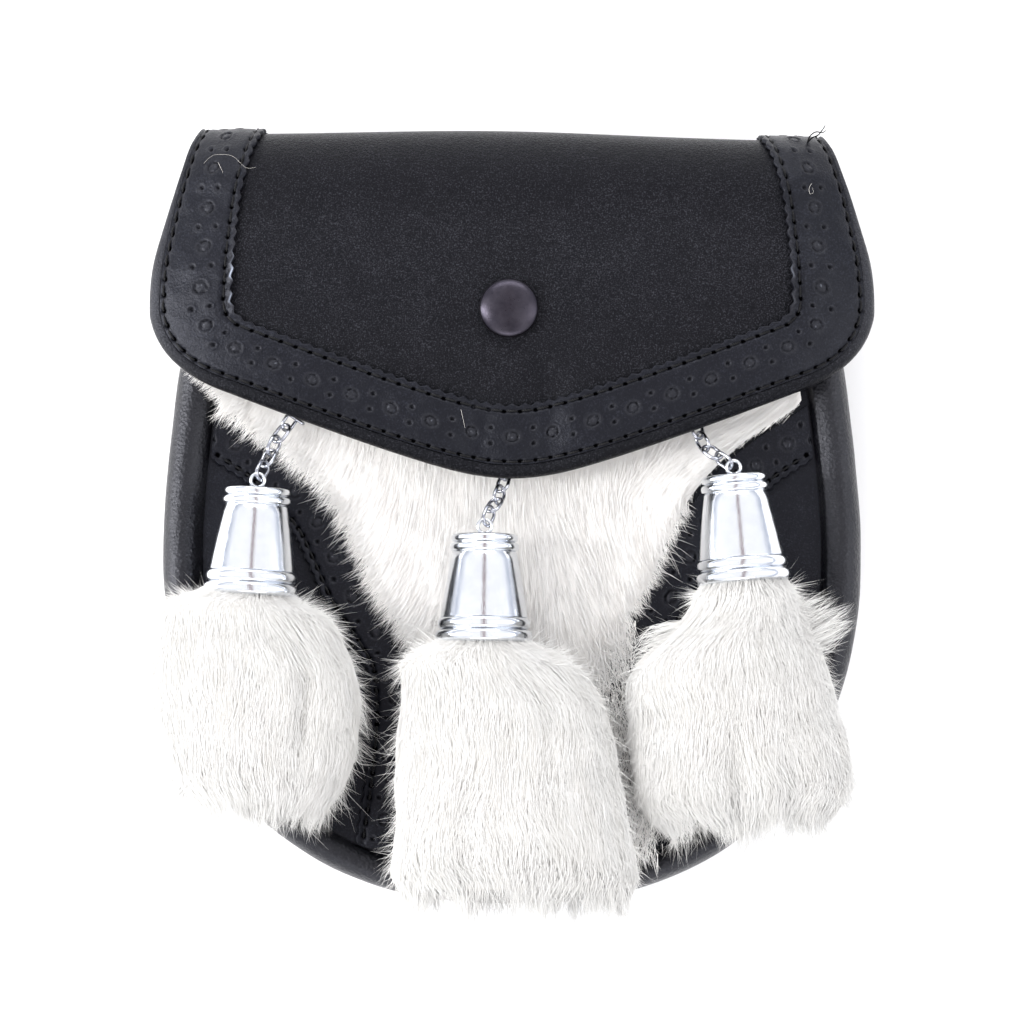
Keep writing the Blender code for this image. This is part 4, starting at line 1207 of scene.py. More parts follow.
def make_side_band(side, sign):
    line = fur_edge_line()
    along = unit(np.gradient(line, axis=0))
    outward = np.stack([-along[:, 1], along[:, 0]], axis=1)
    reach = np.linspace(2 * GAP, SIDE_BAND_WIDTH, 80)
    spots = line[:, None] + outward[:, None] * reach[None, :, None]
    inside = spots[..., 0] < rim_inner_x(spots[..., 1]) - 2 * GAP
    room = np.where(inside.all(axis=1), SIDE_BAND_WIDTH, reach[np.argmin(inside, axis=1)])
    share = np.linspace(0.0, 1.0, 34)
    across = 2 * GAP + (room[:, None] - 2 * GAP) * share
    length = lengths_along(line)[:, None]
    at_edge = (share == 1.0) * (room[:, None] >= SIDE_BAND_WIDTH)
    near_edge = ramp(across, BAND_STITCH + 0.0008, SIDE_BAND_WIDTH)
    across = across - teeth(length) * PINKING_DEPTH * near_edge
    spots = line[:, None] + outward[:, None] * across[..., None]
    seam = (length + np.zeros_like(across), BAND_STITCH, BAND_STITCH_PITCH)
    depth, hole_shade, wear_and_glint = brogued(length, across, BAND_BROGUE_LINE, [seam], BROGUE_PITCH)
    edge = 0.0003 * at_edge + 0.00025 * bump(across - SIDE_BAND_WIDTH, CUT_EDGE)
    x, y = spots[..., 0], spots[..., 1]
    thick = np.maximum(SIDE_BAND_THICKNESS - depth - edge, THINNEST)
    outer = on_front(x, y, GAP + thick)
    inner = on_front(x, y, GAP)
    if sign < 0:
        outer, inner = (grid[:, ::-1] * (-1, 1, 1) for grid in (outer, inner))
        hole_shade, wear_and_glint = hole_shade[:, ::-1], wear_and_glint[:, ::-1]
    mesh = mesh_of(*slab(outer, every(inner, 8)), sharp=60)
    # painted shade in holes, and wear with painted glints, for the material to read
    mark(mesh, "hole_shade", hole_shade)
    mark(mesh, "wear_and_glint", wear_and_glint)
    object_from(f"side_band_{side}_leather", mesh, LOOKS["smooth"],
                [f"side_band_{side}"])

    sewn = room > BAND_STITCH + 0.0006
    x, y = (line + outward * BAND_STITCH)[sewn].T
    top = on_front(sign * x, y, GAP + SIDE_BAND_THICKNESS)
    parts = stitches(top, np.broadcast_to(PANEL_UP, top.shape), BAND_STITCH_PITCH)
    object_from(f"side_band_{side}_stitches", mesh_of(*joined(parts)), LOOKS["thread"])


# ---------------------------------------------------------------- fur


def hair_points(stations, width, up):
    """Points of flat tapering hairs, and the normals that they take from their skin.

    stations are arrays with a row for each hair: its root, its bends and its tip. Each
    hair is a closed three-sided blade whose flat face looks up.
    """
    rings = []
    for k, spot in enumerate(stations[:-1]):
        way = unit(stations[k + 1] - stations[max(k - 1, 0)])
        across = unit(np.cross(way, up))
        over = np.cross(across, way)
        half = (width * (0.5 - 0.12 * k))[:, None]
        rings += [spot - half * across, spot + half * across, spot - 0.9 * half * over]
    points = np.stack([*rings, stations[-1]], axis=1)
    normals = np.repeat(up[:, None], points.shape[1], axis=1)
    return points, normals


def hair_faces(corners):
    """The faces of one hair with this many points."""
    faces = [(0, 2, 1)]
    tip = corners - 1
    for first in range(0, tip, 3):
        for k in range(3):
            a, b = first + k, first + (k + 1) % 3
            last = first + 3 == tip
            faces.append((a, b, tip) if last else (a, b, b + 3, a + 3))
    return faces


Hairs = namedtuple("Hairs", "points normals tones")


def hairs_along(stations, width, up, random):
    """Hairs with a tone of their own each, a little darker towards the root."""
    points, normals = hair_points(stations, width, up)
    own = random.normal(0.78, 0.09, len(points)).clip(0.1, 1.0)
    depth = np.ones(points.shape[1])
    depth[:3] = 0.90
    return Hairs(points, normals, own[:, None] * depth)


def fur_mesh(bodies, groups):
    """One mesh of soft masses and hairs, with a tone at each point."""
    points, normals, tones, loops, sizes, base = [], [], [], [], [], 0
    for body_points, body_faces, body_normals, body_shade_tone in bodies:
        points.append(body_points)
        normals.append(body_normals)
        tones.append(np.full(len(body_points), body_shade_tone))
        loops += [np.array(face) for face in body_faces]
        sizes.append([len(face) for face in body_faces])
        base += len(body_points)
    for group in groups:
        count, corners = group.points.shape[:2]
        faces = hair_faces(corners)
        order = np.concatenate([np.array(face) for face in faces])
        loops.append((base + corners * np.arange(count)[:, None] + order).ravel())
        sizes.append(np.tile([len(face) for face in faces], count))
        points.append(group.points.reshape(-1, 3))
        normals.append(group.normals.reshape(-1, 3))
        tones.append(group.tones.ravel())
        base += count * corners
    loops, sizes = np.concatenate(loops), np.concatenate(sizes)
    starts = np.concatenate([[0], np.cumsum(sizes)[:-1]])

    mesh = bpy.data.meshes.new("fur")
    mesh.vertices.add(base)
    mesh.vertices.foreach_set("co", np.concatenate(points).astype(np.float32).ravel())
    mesh.loops.add(len(loops))
    mesh.loops.foreach_set("vertex_index", loops.astype(np.int32))
    mesh.polygons.add(len(starts))
    mesh.polygons.foreach_set("loop_start", starts.astype(np.int32))
    mesh.update(calc_edges=True)
    mesh.shade_smooth()
    mesh.normals_split_custom_set_from_vertices(np.concatenate(normals).tolist())
    mark(mesh, "tone", np.concatenate(tones))
    return mesh


def tassel_rules(side):
    """Lengths down the fur's outside, and the table's columns over them."""
    table = np.array(TASSELS[side])
    spread = table[:, 1:].mean(axis=1)
    length = lengths_along(np.stack([table[:, 0], spread], axis=1))
    return length, table


def fur_span(side):
    """How far down its outside a tassel's fur leaves its cone, and how far it ends."""
    length, _ = tassel_rules(side)
    return length[1], length[-1]


Groove = namedtuple("Groove", "x from_drop to_drop depth width")

# Partings of the tassels' fronts
GROOVES = {
    "left": [Groove(0.0150, 0.008, 0.042, 0.0022, 0.0020)],
    "centre": [Groove(-0.0040, 0.030, 0.070, 0.0012, 0.0030),
               Groove(0.0160, 0.006, 0.036, 0.0014, 0.0026)],
    "right": [Groove(-0.0066, 0.034, 0.070, 0.0022, 0.0030),
              Groove(0.0070, 0.040, 0.070, 0.0014, 0.0030)],
}


def tassel_skin(side, flow, turn, inset=0.0):
    """Points of a tassel's outside in its cone's frame, this far down its fur and this
    far round. Past the end of the table it runs straight on."""
    length, table = tassel_rules(side)
    past = np.maximum(flow - length[-1], 0.0)
    drop, left, right, low, high = (
        smooth_between(length, table[:, c], np.minimum(flow, length[-1]))
        for c in range(5)
    )
    girth = turn * TASSEL_RADIUS
    below_cone = ramp(flow, 0.010, 0.020)
    lumps = 0.0007 * waves(flow, girth, 0.010, 43) * below_cone
    wide = np.maximum((right + left) / 2 + lumps - inset, 0.001)
    deep = np.maximum((high + low) / 2 - inset, 0.001)
    x = (right - left) / 2 + wide * np.cos(turn)
    y = (high - low) / 2 + deep * np.sin(turn)
    drop = drop + past
    y = y + 0.0006 * waves(girth, flow, 0.013, 40) * below_cone
    for groove in GROOVES[side]:
        within = ramp(drop, groove.from_drop, groove.from_drop + 0.010)
        within = within * ramp(groove.to_drop - drop, 0.0, 0.010)
        within = within * (np.sin(turn) > 0)
        y = y - groove.depth * bump(x - groove.x, groove.width) * within
    return np.stack(np.broadcast_arrays(-x, y, -drop), axis=-1)


def skin_normal(side, flow, turn):
    step, swing = 0.0006, 0.04
    down = tassel_skin(side, flow + step, turn) - tassel_skin(side, flow - step, turn)
    after = tassel_skin(side, flow, turn + swing)
    return unit(np.cross(after - tassel_skin(side, flow, turn - swing), down))


def lit(normal):
    """Normals turned up, as light that goes through white fur evens it out."""
    upward = np.zeros_like(normal)
    upward[..., 1] = LIGHT_THROUGH - np.minimum(normal[..., 1], 0.0)
    return unit(normal + upward)


def tousle(turn, flow):
    """How far round a hair's root lies from its tip."""
    return (0.16 * waves(turn * TASSEL_RADIUS, flow, 0.035, 41)
            + 0.10 * waves(turn * TASSEL_RADIUS, flow, 0.011, 42))


def tassel_mass(side):
    """The soft mass under a tassel's hair, closed at both ends."""
    _, end = fur_span(side)
    steps, sides = 40, 68
    flow = np.linspace(0.0, end - 0.004, steps)[:, None]
    turn = (np.arange(sides) * math.tau / sides)[None, :]
    near_end = np.clip((flow - end + 0.018) / 0.014, 0.0, 1.0)
    sunk = MASS_SUNK * ramp(flow, 0.004, 0.012) + MASS_ENDS * near_end**2
    front = tassel_skin(side, flow, turn)
    for groove in GROOVES[side]:
        off = front[..., 0] + groove.x
        sunk = sunk + 0.5 * groove.depth * bump(off, 2 * groove.width)
    skin = tassel_skin(side, flow, turn, sunk)
    up = lit(skin_normal(side, *np.broadcast_arrays(flow, turn)))
    return skin.reshape(-1, 3), tube_faces(steps, sides), up.reshape(-1, 3)


def coat_hairs(side, random, count):
    """Hairs that lie down the tassel, half of them drawn into soft locks."""
    neck, end = fur_span(side)
    start, end = neck + 0.003, end + 0.0025
    locks = count // 26
    which = random.integers(0, locks, count)
    lock_flow = random.uniform(start, end, locks)[which]
    lock_turn = random.uniform(0, math.tau, locks)[which]
    loose = random.random(count) < 0.5
    flow = np.where(loose, random.uniform(start, end, count),
                    lock_flow + random.normal(0, 0.0016, count))
    turn = np.where(loose, random.uniform(0, math.tau, count),
                    lock_turn + random.normal(0, 0.05, count))
    run = random.uniform(0.009, 0.0150, count)
    drift = tousle(turn, flow) + random.normal(0, 0.06, count)
    root_flow = np.maximum(flow - run, 0.002 * random.random(count))
    middle_flow = (flow + root_flow) / 2
    lift = np.abs(random.normal(0, 0.00016, count))
    root = tassel_skin(side, root_flow, turn - drift, 0.0012)
    middle = tassel_skin(side, middle_flow, turn - drift / 2, 0.0001)
    up = lit(skin_normal(side, middle_flow, turn - drift / 2))
    tip = tassel_skin(side, flow, turn) + skin_normal(side, flow, turn) * lift[:, None]
    width = COAT_WIDTH * random.uniform(0.75, 1.3, count)
    return [root, middle, tip], width, up


def nap_hairs(side, random, count):
    """Fine straight hairs that close the coat, most of them on the tassel's front."""
    neck, end = fur_span(side)
    flow = random.uniform(neck + 0.001, end + 0.0015, count)
    turn = np.where(random.random(count) < 0.2, random.uniform(0, math.tau, count),
                    random.uniform(-0.5, math.pi + 0.5, count))
    run = random.uniform(0.0050, 0.0085, count)
    drift = 0.6 * tousle(turn, flow) + random.normal(0, 0.04, count)
    root = tassel_skin(side, np.maximum(flow - run, 0.0), turn - drift, 0.0006)
    up = lit(skin_normal(side, flow - run / 2, turn))
    lift = np.abs(random.normal(0, 0.00010, count))
    tip = tassel_skin(side, flow, turn) + skin_normal(side, flow, turn) * lift[:, None]
    return [root, tip], NAP_WIDTH * random.uniform(0.8, 1.3, count), up


def mostly_sideways(random, count, share, spread):
    """Turns round a tassel, this share of them near its two sides."""
    sideways = np.where(random.random(count) < 0.5, 0.0, math.pi)
    return np.where(random.random(count) < share,
                    sideways + random.normal(0, spread, count),
                    random.uniform(0, math.tau, count))


def fringe_hairs(side, random, count):
    """Short hairs that stand off the tassel, most of them along its outline."""
    neck, end = fur_span(side)
    flow = random.uniform(neck + 0.001, end + 0.002, count)
    shoulder = random.random(count) < 0.22
    flow = np.where(shoulder, neck + random.uniform(0.001, 0.012, count), flow)
    turn = mostly_sideways(random, count, 0.75, 0.42)
    normal = skin_normal(side, flow, turn)
    down = tassel_skin(side, flow + 0.001, turn) - tassel_skin(side, flow - 0.001, turn)
    stand = random.uniform(0.05, 0.80, count)[:, None]
    way = unit(normal * stand + unit(down) * 0.75 + random.normal(0, 0.24, (count, 3)))
    uneven = 0.75 + 0.55 * np.clip(waves(flow, turn * TASSEL_RADIUS, 0.007, 44), -1, 1)
    run = (uneven * random.gamma(2.6, 0.0015, count)).clip(0.0015, 0.0095)[:, None]
    root = tassel_skin(side, flow, turn, 0.0008)
    tip = root + way * run + random.normal(0, 0.0002, (count, 3))
    width = FRINGE_WIDTH * random.uniform(0.7, 1.3, count)
    return [root, tip], width, lit(normal)


# How much farther the hair of a tassel's foot hangs
FOOT_HANGS = {"left": 0.0, "centre": 0.0036, "right": 0.0012}


def foot_hairs(side, random, count):
    """Hairs that fill the tassel's foot and hang past it in small locks."""
    _, end = fur_span(side)
    locks = count // 18
    which = random.integers(0, locks, count)
    lock_turn = random.uniform(0, math.tau, locks)[which]
    depth = np.sqrt(random.uniform(0.05, 1.0, locks))[which]
    past = random.uniform(-0.0020, 0.0036, locks)[which] + FOOT_HANGS[side]

    def spot(flow, spread, wander):
        turn = lock_turn + random.normal(0, wander, count)
        skin = tassel_skin(side, flow, turn)
        axis = (tassel_skin(side, flow, 0.0) + tassel_skin(side, flow, math.pi)) / 2
        return axis + (skin - axis) * (depth * spread)[:, None]

    tip = spot(end + past + random.normal(0, 0.0009, count), 1.04, 0.07)
    tip += random.normal(0, 0.0005, (count, 3))
    middle = spot(np.full(count, end - 0.005), 0.98, 0.13)
    root = spot(np.full(count, end - 0.013), 0.82, 0.20)
    up = lit(skin_normal(side, np.full(count, end - 0.004), lock_turn))
    width = COAT_WIDTH * random.uniform(0.7, 1.2, count)
    return [root, middle, tip], width, up


def guard_hairs(side, random, count):
    """Long single hairs that stand out beyond the rest."""
    neck, end = fur_span(side)
    flow = random.uniform(neck + 0.002, end, count)
    turn = mostly_sideways(random, count, 0.7, 0.5)
    normal = skin_normal(side, flow, turn)
    out = random.uniform(0.0020, 0.0070, count)[:, None]
    down = np.zeros((count, 3))
    down[:, 2] = -random.uniform(-0.0005, 0.0050, count)
    root = tassel_skin(side, flow - 0.003, turn, 0.001)
    middle = root + normal * out * 0.45 + down * 0.3
    tip = middle + normal * out * 0.55 + down * 0.7 + random.normal(0, 0.0018, (count, 3))
    return [root, middle, tip], np.full(count, GUARD_WIDTH), lit(normal)


def tuft_way(row):
    root = np.array([-row.root_x, row.out, -row.root_drop])
    tip = np.array([-row.tip_x, row.out, -row.tip_drop])
    return root, tip - root


def tuft_hairs(side, random, count):
    """Hairs of the locks that stand out of a tassel."""
    parts = []
    for row in TUFTS[side]:
        root, way = tuft_way(row)
        spread = random.normal(0, 0.5, (count, 3))
        spread /= np.maximum(np.linalg.norm(spread, axis=1, keepdims=True), 1.0)
        share = random.uniform(0.25, 1.10, count)[:, None]
        wide = row.radius * np.sin(math.pi * np.clip(share * 0.80 + 0.12, 0, 1))
        tips = root + way * share + spread * wide + random.normal(0, 0.0008, (count, 3))
        middles = root + way * share * 0.5 + spread * row.radius * 0.85
        roots = root - way * 0.25 + spread * row.radius * 0.5
        parts.append((roots, middles, tips, lit(unit(spread + (0, 0.4, 0)))))
    root, middle, tip, up = (np.concatenate(group) for group in zip(*parts))
    return [root, middle, tip], COAT_WIDTH * random.uniform(0.7, 1.2, len(root)), up


def over_pouch(points):
    """Points lifted to lie on the pouch's front, where they would sink into it."""
    within = np.abs(points[..., 0]) < BODY_HALF_WIDTH - 0.004
    within = within & (points[..., 1] > -0.086)
    bed = np.where(within, panel_z(points[..., 1]) + TASSEL_BED, 0.0)
    points[..., 2] = np.maximum(points[..., 2], bed)
    return points


# (kind of hair, how many) of a tassel's coat and of its fine fur
TASSEL_COAT = (coat_hairs, 3800), (foot_hairs, 1700), (tuft_hairs, 300)
TASSEL_FINE = (nap_hairs, 15500), (fringe_hairs, 7500), (guard_hairs, 420)
# the mass under a tassel's hair takes a low tone: painted shade for the depth of the fur
TASSEL_MASS_SHADE_TONE = 0.45
TASSEL_SEED = 100


def grow(name, slot, node, bodies, groups):
    """Adds a piece of fur in the place of a solid."""
    object_from(name, fur_mesh(bodies, groups), LOOKS[slot], [node])


def make_tassel(cone, seed):
    random = np.random.default_rng(seed)
    matrix = cone_frame(cone)
    turn = np.array(matrix.to_3x3())

    def grown(kinds):
        groups = []
        for make, count in kinds:
            stations, width, up = make(cone.side, random, count)
            stations = [over_pouch(carried(matrix, spots)) for spots in stations]
            up = unit(up @ turn.T + random.normal(0, 0.06, up.shape))
            groups.append(hairs_along(stations, width, up, random))
        return groups

    points, faces, up = tassel_mass(cone.side)
    body = carried(matrix, points), faces, up @ turn.T, TASSEL_MASS_SHADE_TONE
    node = f"tassel_fur_{cone.side}"
    grow(f"tassel_{cone.side}_fur", "tassel_fur", node, [body], grown(TASSEL_COAT))
    grow(f"tassel_{cone.side}_fine_fur", "tassel_fur", node, [], grown(TASSEL_FINE))


def fur_half_width(y):
    return np.minimum(smooth(FUR_EDGE, y), rim_inner_x(y) - 2 * GAP)


def combed(x, y, way, run):
    """Where hairs from (x, y) end that run at an angle from straight down."""
    return x + np.sin(way) * run, y - np.cos(way) * run


def coat_height(x, y, level):
    """Height of the panel's coat, thinner at its edges and lifted over the rim."""
    beyond = np.abs(x) - fur_half_width(y)
    fall = np.where(x < 0, 0.0014, 0.0010)
    height = level - fall * ramp(beyond, -0.004, 0.002)
    height = height - 0.0014 * ramp(-y, 0.072, -FUR_FOOT)
    height = height + 0.00035 * waves(x, y, 0.012, 33)
    on_rim = near_rim(x, y, 0.0012)
    return np.where(on_rim, np.maximum(height, RECESS + 0.0006), height)


def panel_mass():
    """The soft mass under the panel's hair."""
    y = np.linspace(FUR_TOP, FUR_FOOT, 80)
    u = np.linspace(-1.0, 1.0, 31)
    half = fur_half_width(y) - MASS_EDGE
    x = half[:, None] * u[None, :]
    y_grid = np.broadcast_to(y[:, None], x.shape)
    height = coat_height(x, y_grid, COAT_HEIGHT) - MASS_BELOW
    outer = on_front(x, y_grid, height)
    inner = on_front(x, y_grid, np.full(x.shape, GAP))
    return slab(outer, every(inner, 6))


def upper_right(u, y):
    """1 in the panel's upper right corner, where the hair lies along the edge."""
    return ramp(u, 0.35, 0.9) * ramp(y, 0.004, 0.016)


def fur_flow(x, y):
    """The way that the panel's hairs lie, as an angle from straight down: outwards
    towards the edges, with slow sways."""
    u = x / fur_half_width(y)
    beside_cone = bump(np.hypot(x - 0.014, (y + 0.004) * 0.6), 0.013)
    outward = np.where(u < 0, 0.62, 0.42) * u * np.abs(u)
    return (outward + 0.16 * waves(x, y, 0.045, 31) + 0.10 * waves(x, y, 0.014, 32)
            + 0.4 * beside_cone - 0.08 - 1.20 * upper_right(u, y))


def panel_hairs(random, count):
    """Hairs of the panel, combed down and out over its edges."""
    y = random.uniform(*FUR_ROOTS, 4 * count)
    u = random.uniform(-1.0, 1.0, 4 * count)
    keep = random.random(4 * count) * FUR_WIDEST < fur_half_width(y)
    y, u = y[keep][:count], u[keep][:count]
    count = len(y)
    half = fur_half_width(y)
    x = u * (half - 0.0028 + 0.0014 * upper_right(u, y))
    way = fur_flow(x, y) + random.normal(0, 0.07, count)
    run = random.uniform(0.007, 0.0125, count) * (1 - 0.45 * np.abs(u) ** 3)
    middle_x, middle_y = combed(x, y, way, run / 2)
    way = (way + fur_flow(middle_x, middle_y) + random.normal(0, 0.07, count)) / 2
    tip_x, tip_y = combed(middle_x, middle_y, way, run / 2)

    root = on_front(x, y, np.full(count, 0.0018))
    middle = on_front(middle_x, middle_y,
                      coat_height(middle_x, middle_y, COAT_HEIGHT)
                      + random.normal(0, 0.0002, count))
    tip = on_front(tip_x, tip_y,
                   coat_height(tip_x, tip_y, TIP_HEIGHT)
                   + random.normal(0, 0.0003, count))
    return [root, middle, tip], COAT_WIDTH * random.uniform(0.7, 1.25, count)


def panel_nap(random, count):
    """Fine straight hairs that close the panel's coat."""
    (_, middle, tip), width = panel_hairs(random, count)
    return [middle - (0, 0, 0.0008), tip - (0, 0, 0.0003)], width * 0.85


def panel_shoulder(random, count):
    """Hairs of the panel's upper left corner that lie out over the rim."""
    y = random.uniform(0.0290, 0.0470, count)
    inset = random.uniform(-0.0055, 0.0090, count)
    x = inset - rim_inner_x(y)
    out = random.normal(0.95, 0.22, count)
    run = random.uniform(0.004, 0.0085, count)
    tip_x, tip_y = combed(x, y, -out, run)
    low = 0.0012 * ramp(inset, 0.001, 0.005)
    root = on_front(x, y, RECESS + 0.0003 - low)
    middle = on_front((x + tip_x) / 2, (y + tip_y) / 2 + 0.0003,
                      RECESS + random.uniform(0.0006, 0.0016, count) - low / 2)
    tip = on_front(tip_x, tip_y, RECESS + random.uniform(0.0002, 0.0012, count))
    width = COAT_WIDTH * random.uniform(0.7, 1.1, count)
    keep = tip_y > 0.0312 - 0.9 * (tip_x + 0.0735) + random.uniform(-0.0015, 0.0, count)
    return [root[keep], middle[keep], tip[keep]], width[keep]


def panel_fringe(random, count):
    """Hairs that spill over the panel's edges, most of them drawn into small locks."""
    locks = count // 12
    which = random.integers(0, locks, count)
    middle = random.uniform(-0.078, 0.040, locks)[which]
    loose = random.random(count) < 0.4
    y = middle + random.normal(0, 1.0, count) * np.where(loose, 0.0040, 0.0010)
    y = np.clip(y, -0.078, 0.040)
    left = (random.random(locks) < 0.60)[which]
    sign = np.where(left, -1.0, 1.0)
    x = sign * (fur_half_width(y) - random.uniform(0.0014, 0.0050, count))
    strip = (y < -0.024) & ~left
    corner = (y > 0.008) & ~left
    out = (random.normal(0.62, 0.22, locks)[which] + random.normal(0, 0.10, count)
           + 0.25 * strip - 0.9 * corner)
    run = random.gamma(5.0, 0.00080, locks)[which].clip(0.0015, 0.0070)
    run = run * random.uniform(0.75, 1.15, count)
    run = run * np.where(left | strip, 1.0, 0.75) * np.where(corner, 0.5, 1.0)
    base_y = np.where(loose, y, middle)
    base_x = sign * (fur_half_width(base_y) - 0.0026)
    tip_x, tip_y = combed(base_x, base_y, sign * out, run)
    tip_x = tip_x + random.normal(0, 0.00020, count)
    tip_y = tip_y + random.normal(0, 0.00020, count)
    on_rim = near_rim(tip_x, tip_y, 0.001)
    height = np.where(on_rim, RECESS + 0.0008, random.uniform(0.0022, 0.0038, count))
    start = np.where(near_rim(x, y, 0.002), RECESS + 0.0002,
                     coat_height(x, y, COAT_HEIGHT) - 0.0012)
    width = COAT_WIDTH * random.uniform(0.7, 1.2, count)
    return [on_front(x, y, start), on_front(tip_x, tip_y, height)], width


def panel_wisps(random, count):
    """Long single hairs across the panel's edges."""
    y = random.uniform(-0.075, 0.030, count)
    sign = np.where((random.random(count) < 0.65) | (y > 0.006), -1.0, 1.0)
    x = sign * (fur_half_width(y) - random.uniform(0.001, 0.005, count))
    out = random.normal(1.0, 0.45, count)
    run = random.uniform(0.004, 0.0095, count)
    tip_x, tip_y = combed(x, y, sign * out, run)
    on_rim = near_rim(tip_x, tip_y, 0.001)
    height = np.where(on_rim, RECESS + 0.0010, random.uniform(0.0028, 0.0050, count))
    middle = on_front((x + tip_x) / 2, (y + tip_y) / 2 + 0.0005, height + 0.0006)
    root = on_front(x, y, np.full(count, 0.0028))
    return [root, middle, on_front(tip_x, tip_y, height)], np.full(count, GUARD_WIDTH)


# Where the panel's hair fills the gap between the centre and the right tassel:
# (y, first x, last x, height)
TASSEL_GAP = np.array((
    (-0.0800, 0.0275, 0.0360, 0.0110), (-0.0640, 0.0240, 0.0335, 0.0140),
    (-0.0500, 0.0200, 0.0315, 0.0140), (-0.0400, 0.0165, 0.0305, 0.0110),
    (-0.0320, 0.0165, 0.0285, 0.0062), (-0.0250, 0.0190, 0.0280, 0.0040),
    (-0.0180, 0.0240, 0.0292, 0.0036)))


def panel_gap_hairs(random, count):
    """Hairs beyond the panel's strip, between the centre and the right tassel."""
    y = random.uniform(-0.0770, -0.0190, count)
    first, last, height = (np.interp(y, TASSEL_GAP[:, 0], TASSEL_GAP[:, k])
                           for k in (1, 2, 3))
    x = first + (last - first) * random.random(count)
    height = height + random.normal(0, 0.0006, count)
    way = random.normal(0.05, 0.30, count) + 0.35 * ramp(y, -0.036, -0.028)
    run = random.uniform(0.0055, 0.0100, count)
    middle_x, middle_y = combed(x, y, way, run / 2)
    way = way + random.normal(0, 0.35, count)
    tip_x, tip_y = combed(middle_x, middle_y, way, run / 2)
    tip_x = np.minimum(tip_x, last + random.uniform(0.0, 0.0030, count))
    root = on_front(x, y, 0.5 * height)
    middle = on_front(middle_x, middle_y, 0.95 * height)
    tip = on_front(tip_x, tip_y, height + random.normal(0, 0.0005, count))
    return [root, middle, tip], COAT_WIDTH * random.uniform(0.8, 1.3, count)


def panel_gap_nap(random, count):
    """Fine straight hairs that close the hair in the gap."""
    (_, middle, tip), width = panel_gap_hairs(random, count)
    return [middle - (0, 0, 0.0006), tip - (0, 0, 0.0004)], width


PANEL_COAT = (panel_hairs, 4500), (panel_shoulder, 4000)
PANEL_FINE = ((panel_nap, 18000), (panel_fringe, 10500), (panel_wisps, 420),
              (panel_gap_nap, 2000), (panel_gap_hairs, 500))
# the mass under the panel's hair takes a lower tone: painted shade for the depth of the
# fur
PANEL_MASS_SHADE_TONE = 0.70
PANEL_SEED = 77


def make_fur_panel():
    random = np.random.default_rng(PANEL_SEED)

    def grown(kinds):
        groups = []
        for make, count in kinds:
            stations, width = make(random, count)
            up = PANEL_UP + random.normal(0, 0.10, stations[0].shape)
            groups.append(hairs_along(stations, width, unit(up), random))
        return groups

    points, faces = panel_mass()
    body = points, faces, np.broadcast_to(PANEL_UP, points.shape), PANEL_MASS_SHADE_TONE
    grow("fur_panel_fur", "panel_fur", "fur_panel", [body], grown(PANEL_COAT))
    grow("fur_panel_fine_fur", "panel_fur", "fur_panel", [], grown(PANEL_FINE))


# ---------------------------------------------------------------- metal


def cone_frame(cone):
    """Frame of a cone: its origin in the mouth, +Z to its top, +Y out of the front."""
    tilt = Matrix.Rotation(-PANEL_TILT, 4, "X")
    tilt = tilt @ Matrix.Rotation(math.radians(cone.tilt), 4, "Z")
    upright = Matrix(((-1, 0, 0, 0), (0, 0, 1, 0), (0, 1, 0, 0), (0, 0, 0, 1)))
    spot = Vector(on_front(cone.x, cone.y, cone.height))
    return Matrix.Translation(spot) @ tilt @ upright


def wire(path):
    """A closed loop of the chains' wire."""
    return tube(path, WIRE_RADIUS, WIRE_SIDES, closed=True)


def bead(groove, crown, first, last, steps=9):
    """A round bead of a turned piece: (radius, drop) rows."""
    return [(groove + (crown - groove) * math.sin(turn) ** 0.7,
             first + (last - first) * (1 - math.cos(turn)) / 2)
            for turn in np.linspace(0.0, math.pi, steps)]


def cone_profile():
    """(radius, drop) rows of a cone from the middle of its top, down and back inside."""
    rows = [(0.0, 0.0), (0.0020, 0.0), (0.0055, 0.00002), (0.0070, 0.00008)]
    rows += bead(0.0075, 0.0083, 0.0002, 0.0021)
    rows += bead(0.0077, 0.0086, 0.0023, 0.0044)
    for share in np.linspace(0.0, 1.0, 9):
        belly = 0.00012 * math.sin(math.pi * share)
        rows.append((0.0080 + 0.0028 * share + belly, 0.0047 + 0.0161 * share))
    rows += bead(0.0105, 0.0115, 0.0210, 0.0238)
    rows += bead(0.0108, 0.0121, 0.0240, 0.0271)
    rows += [(0.0106, 0.02722), (0.0104, 0.0269), (0.0094, 0.0204), (0.0070, 0.0014),
             (0.0, 0.0014)]
    return rows


def make_cones():
    profile = [(radius, CONE_LENGTH - drop) for radius, drop in cone_profile()]
    body = turned(profile, CONE_SIDES)
    turns = np.arange(EYE_STEPS) * math.tau / EYE_STEPS
    middle = CONE_LENGTH + EYE_RISE
    ring = np.stack([EYE_RADIUS * np.cos(turns), 0 * turns,
                     middle + EYE_RADIUS * np.sin(turns)], axis=1)
    points, faces = joined([body, wire(ring)])
    for cone in CONES:
        mesh = mesh_of(carried(cone_frame(cone), points), faces, sharp=45)
        object_from(f"cone_{cone.side}_metal", mesh, LOOKS["chrome"],
                    [f"cone_{cone.side}"])


def link_path(steps=9):
    """A long link, lying in XY with its length along X."""
    half = LINK_HALF_LENGTH - LINK_HALF_WIDTH
    return [(end * half + LINK_HALF_WIDTH * math.cos(turn),
             LINK_HALF_WIDTH * math.sin(turn), 0.0)
            for end, start in ((1, -90), (-1, 90))
            for turn in np.radians(np.linspace(start, start + 180, steps))]


def along_path(path, distance):
    for k, (start, end) in enumerate(zip(path, path[1:])):
        length = (end - start).length
        if distance <= length or k == len(path) - 2:
            return start + (end - start) * (distance / length)
        distance -= length


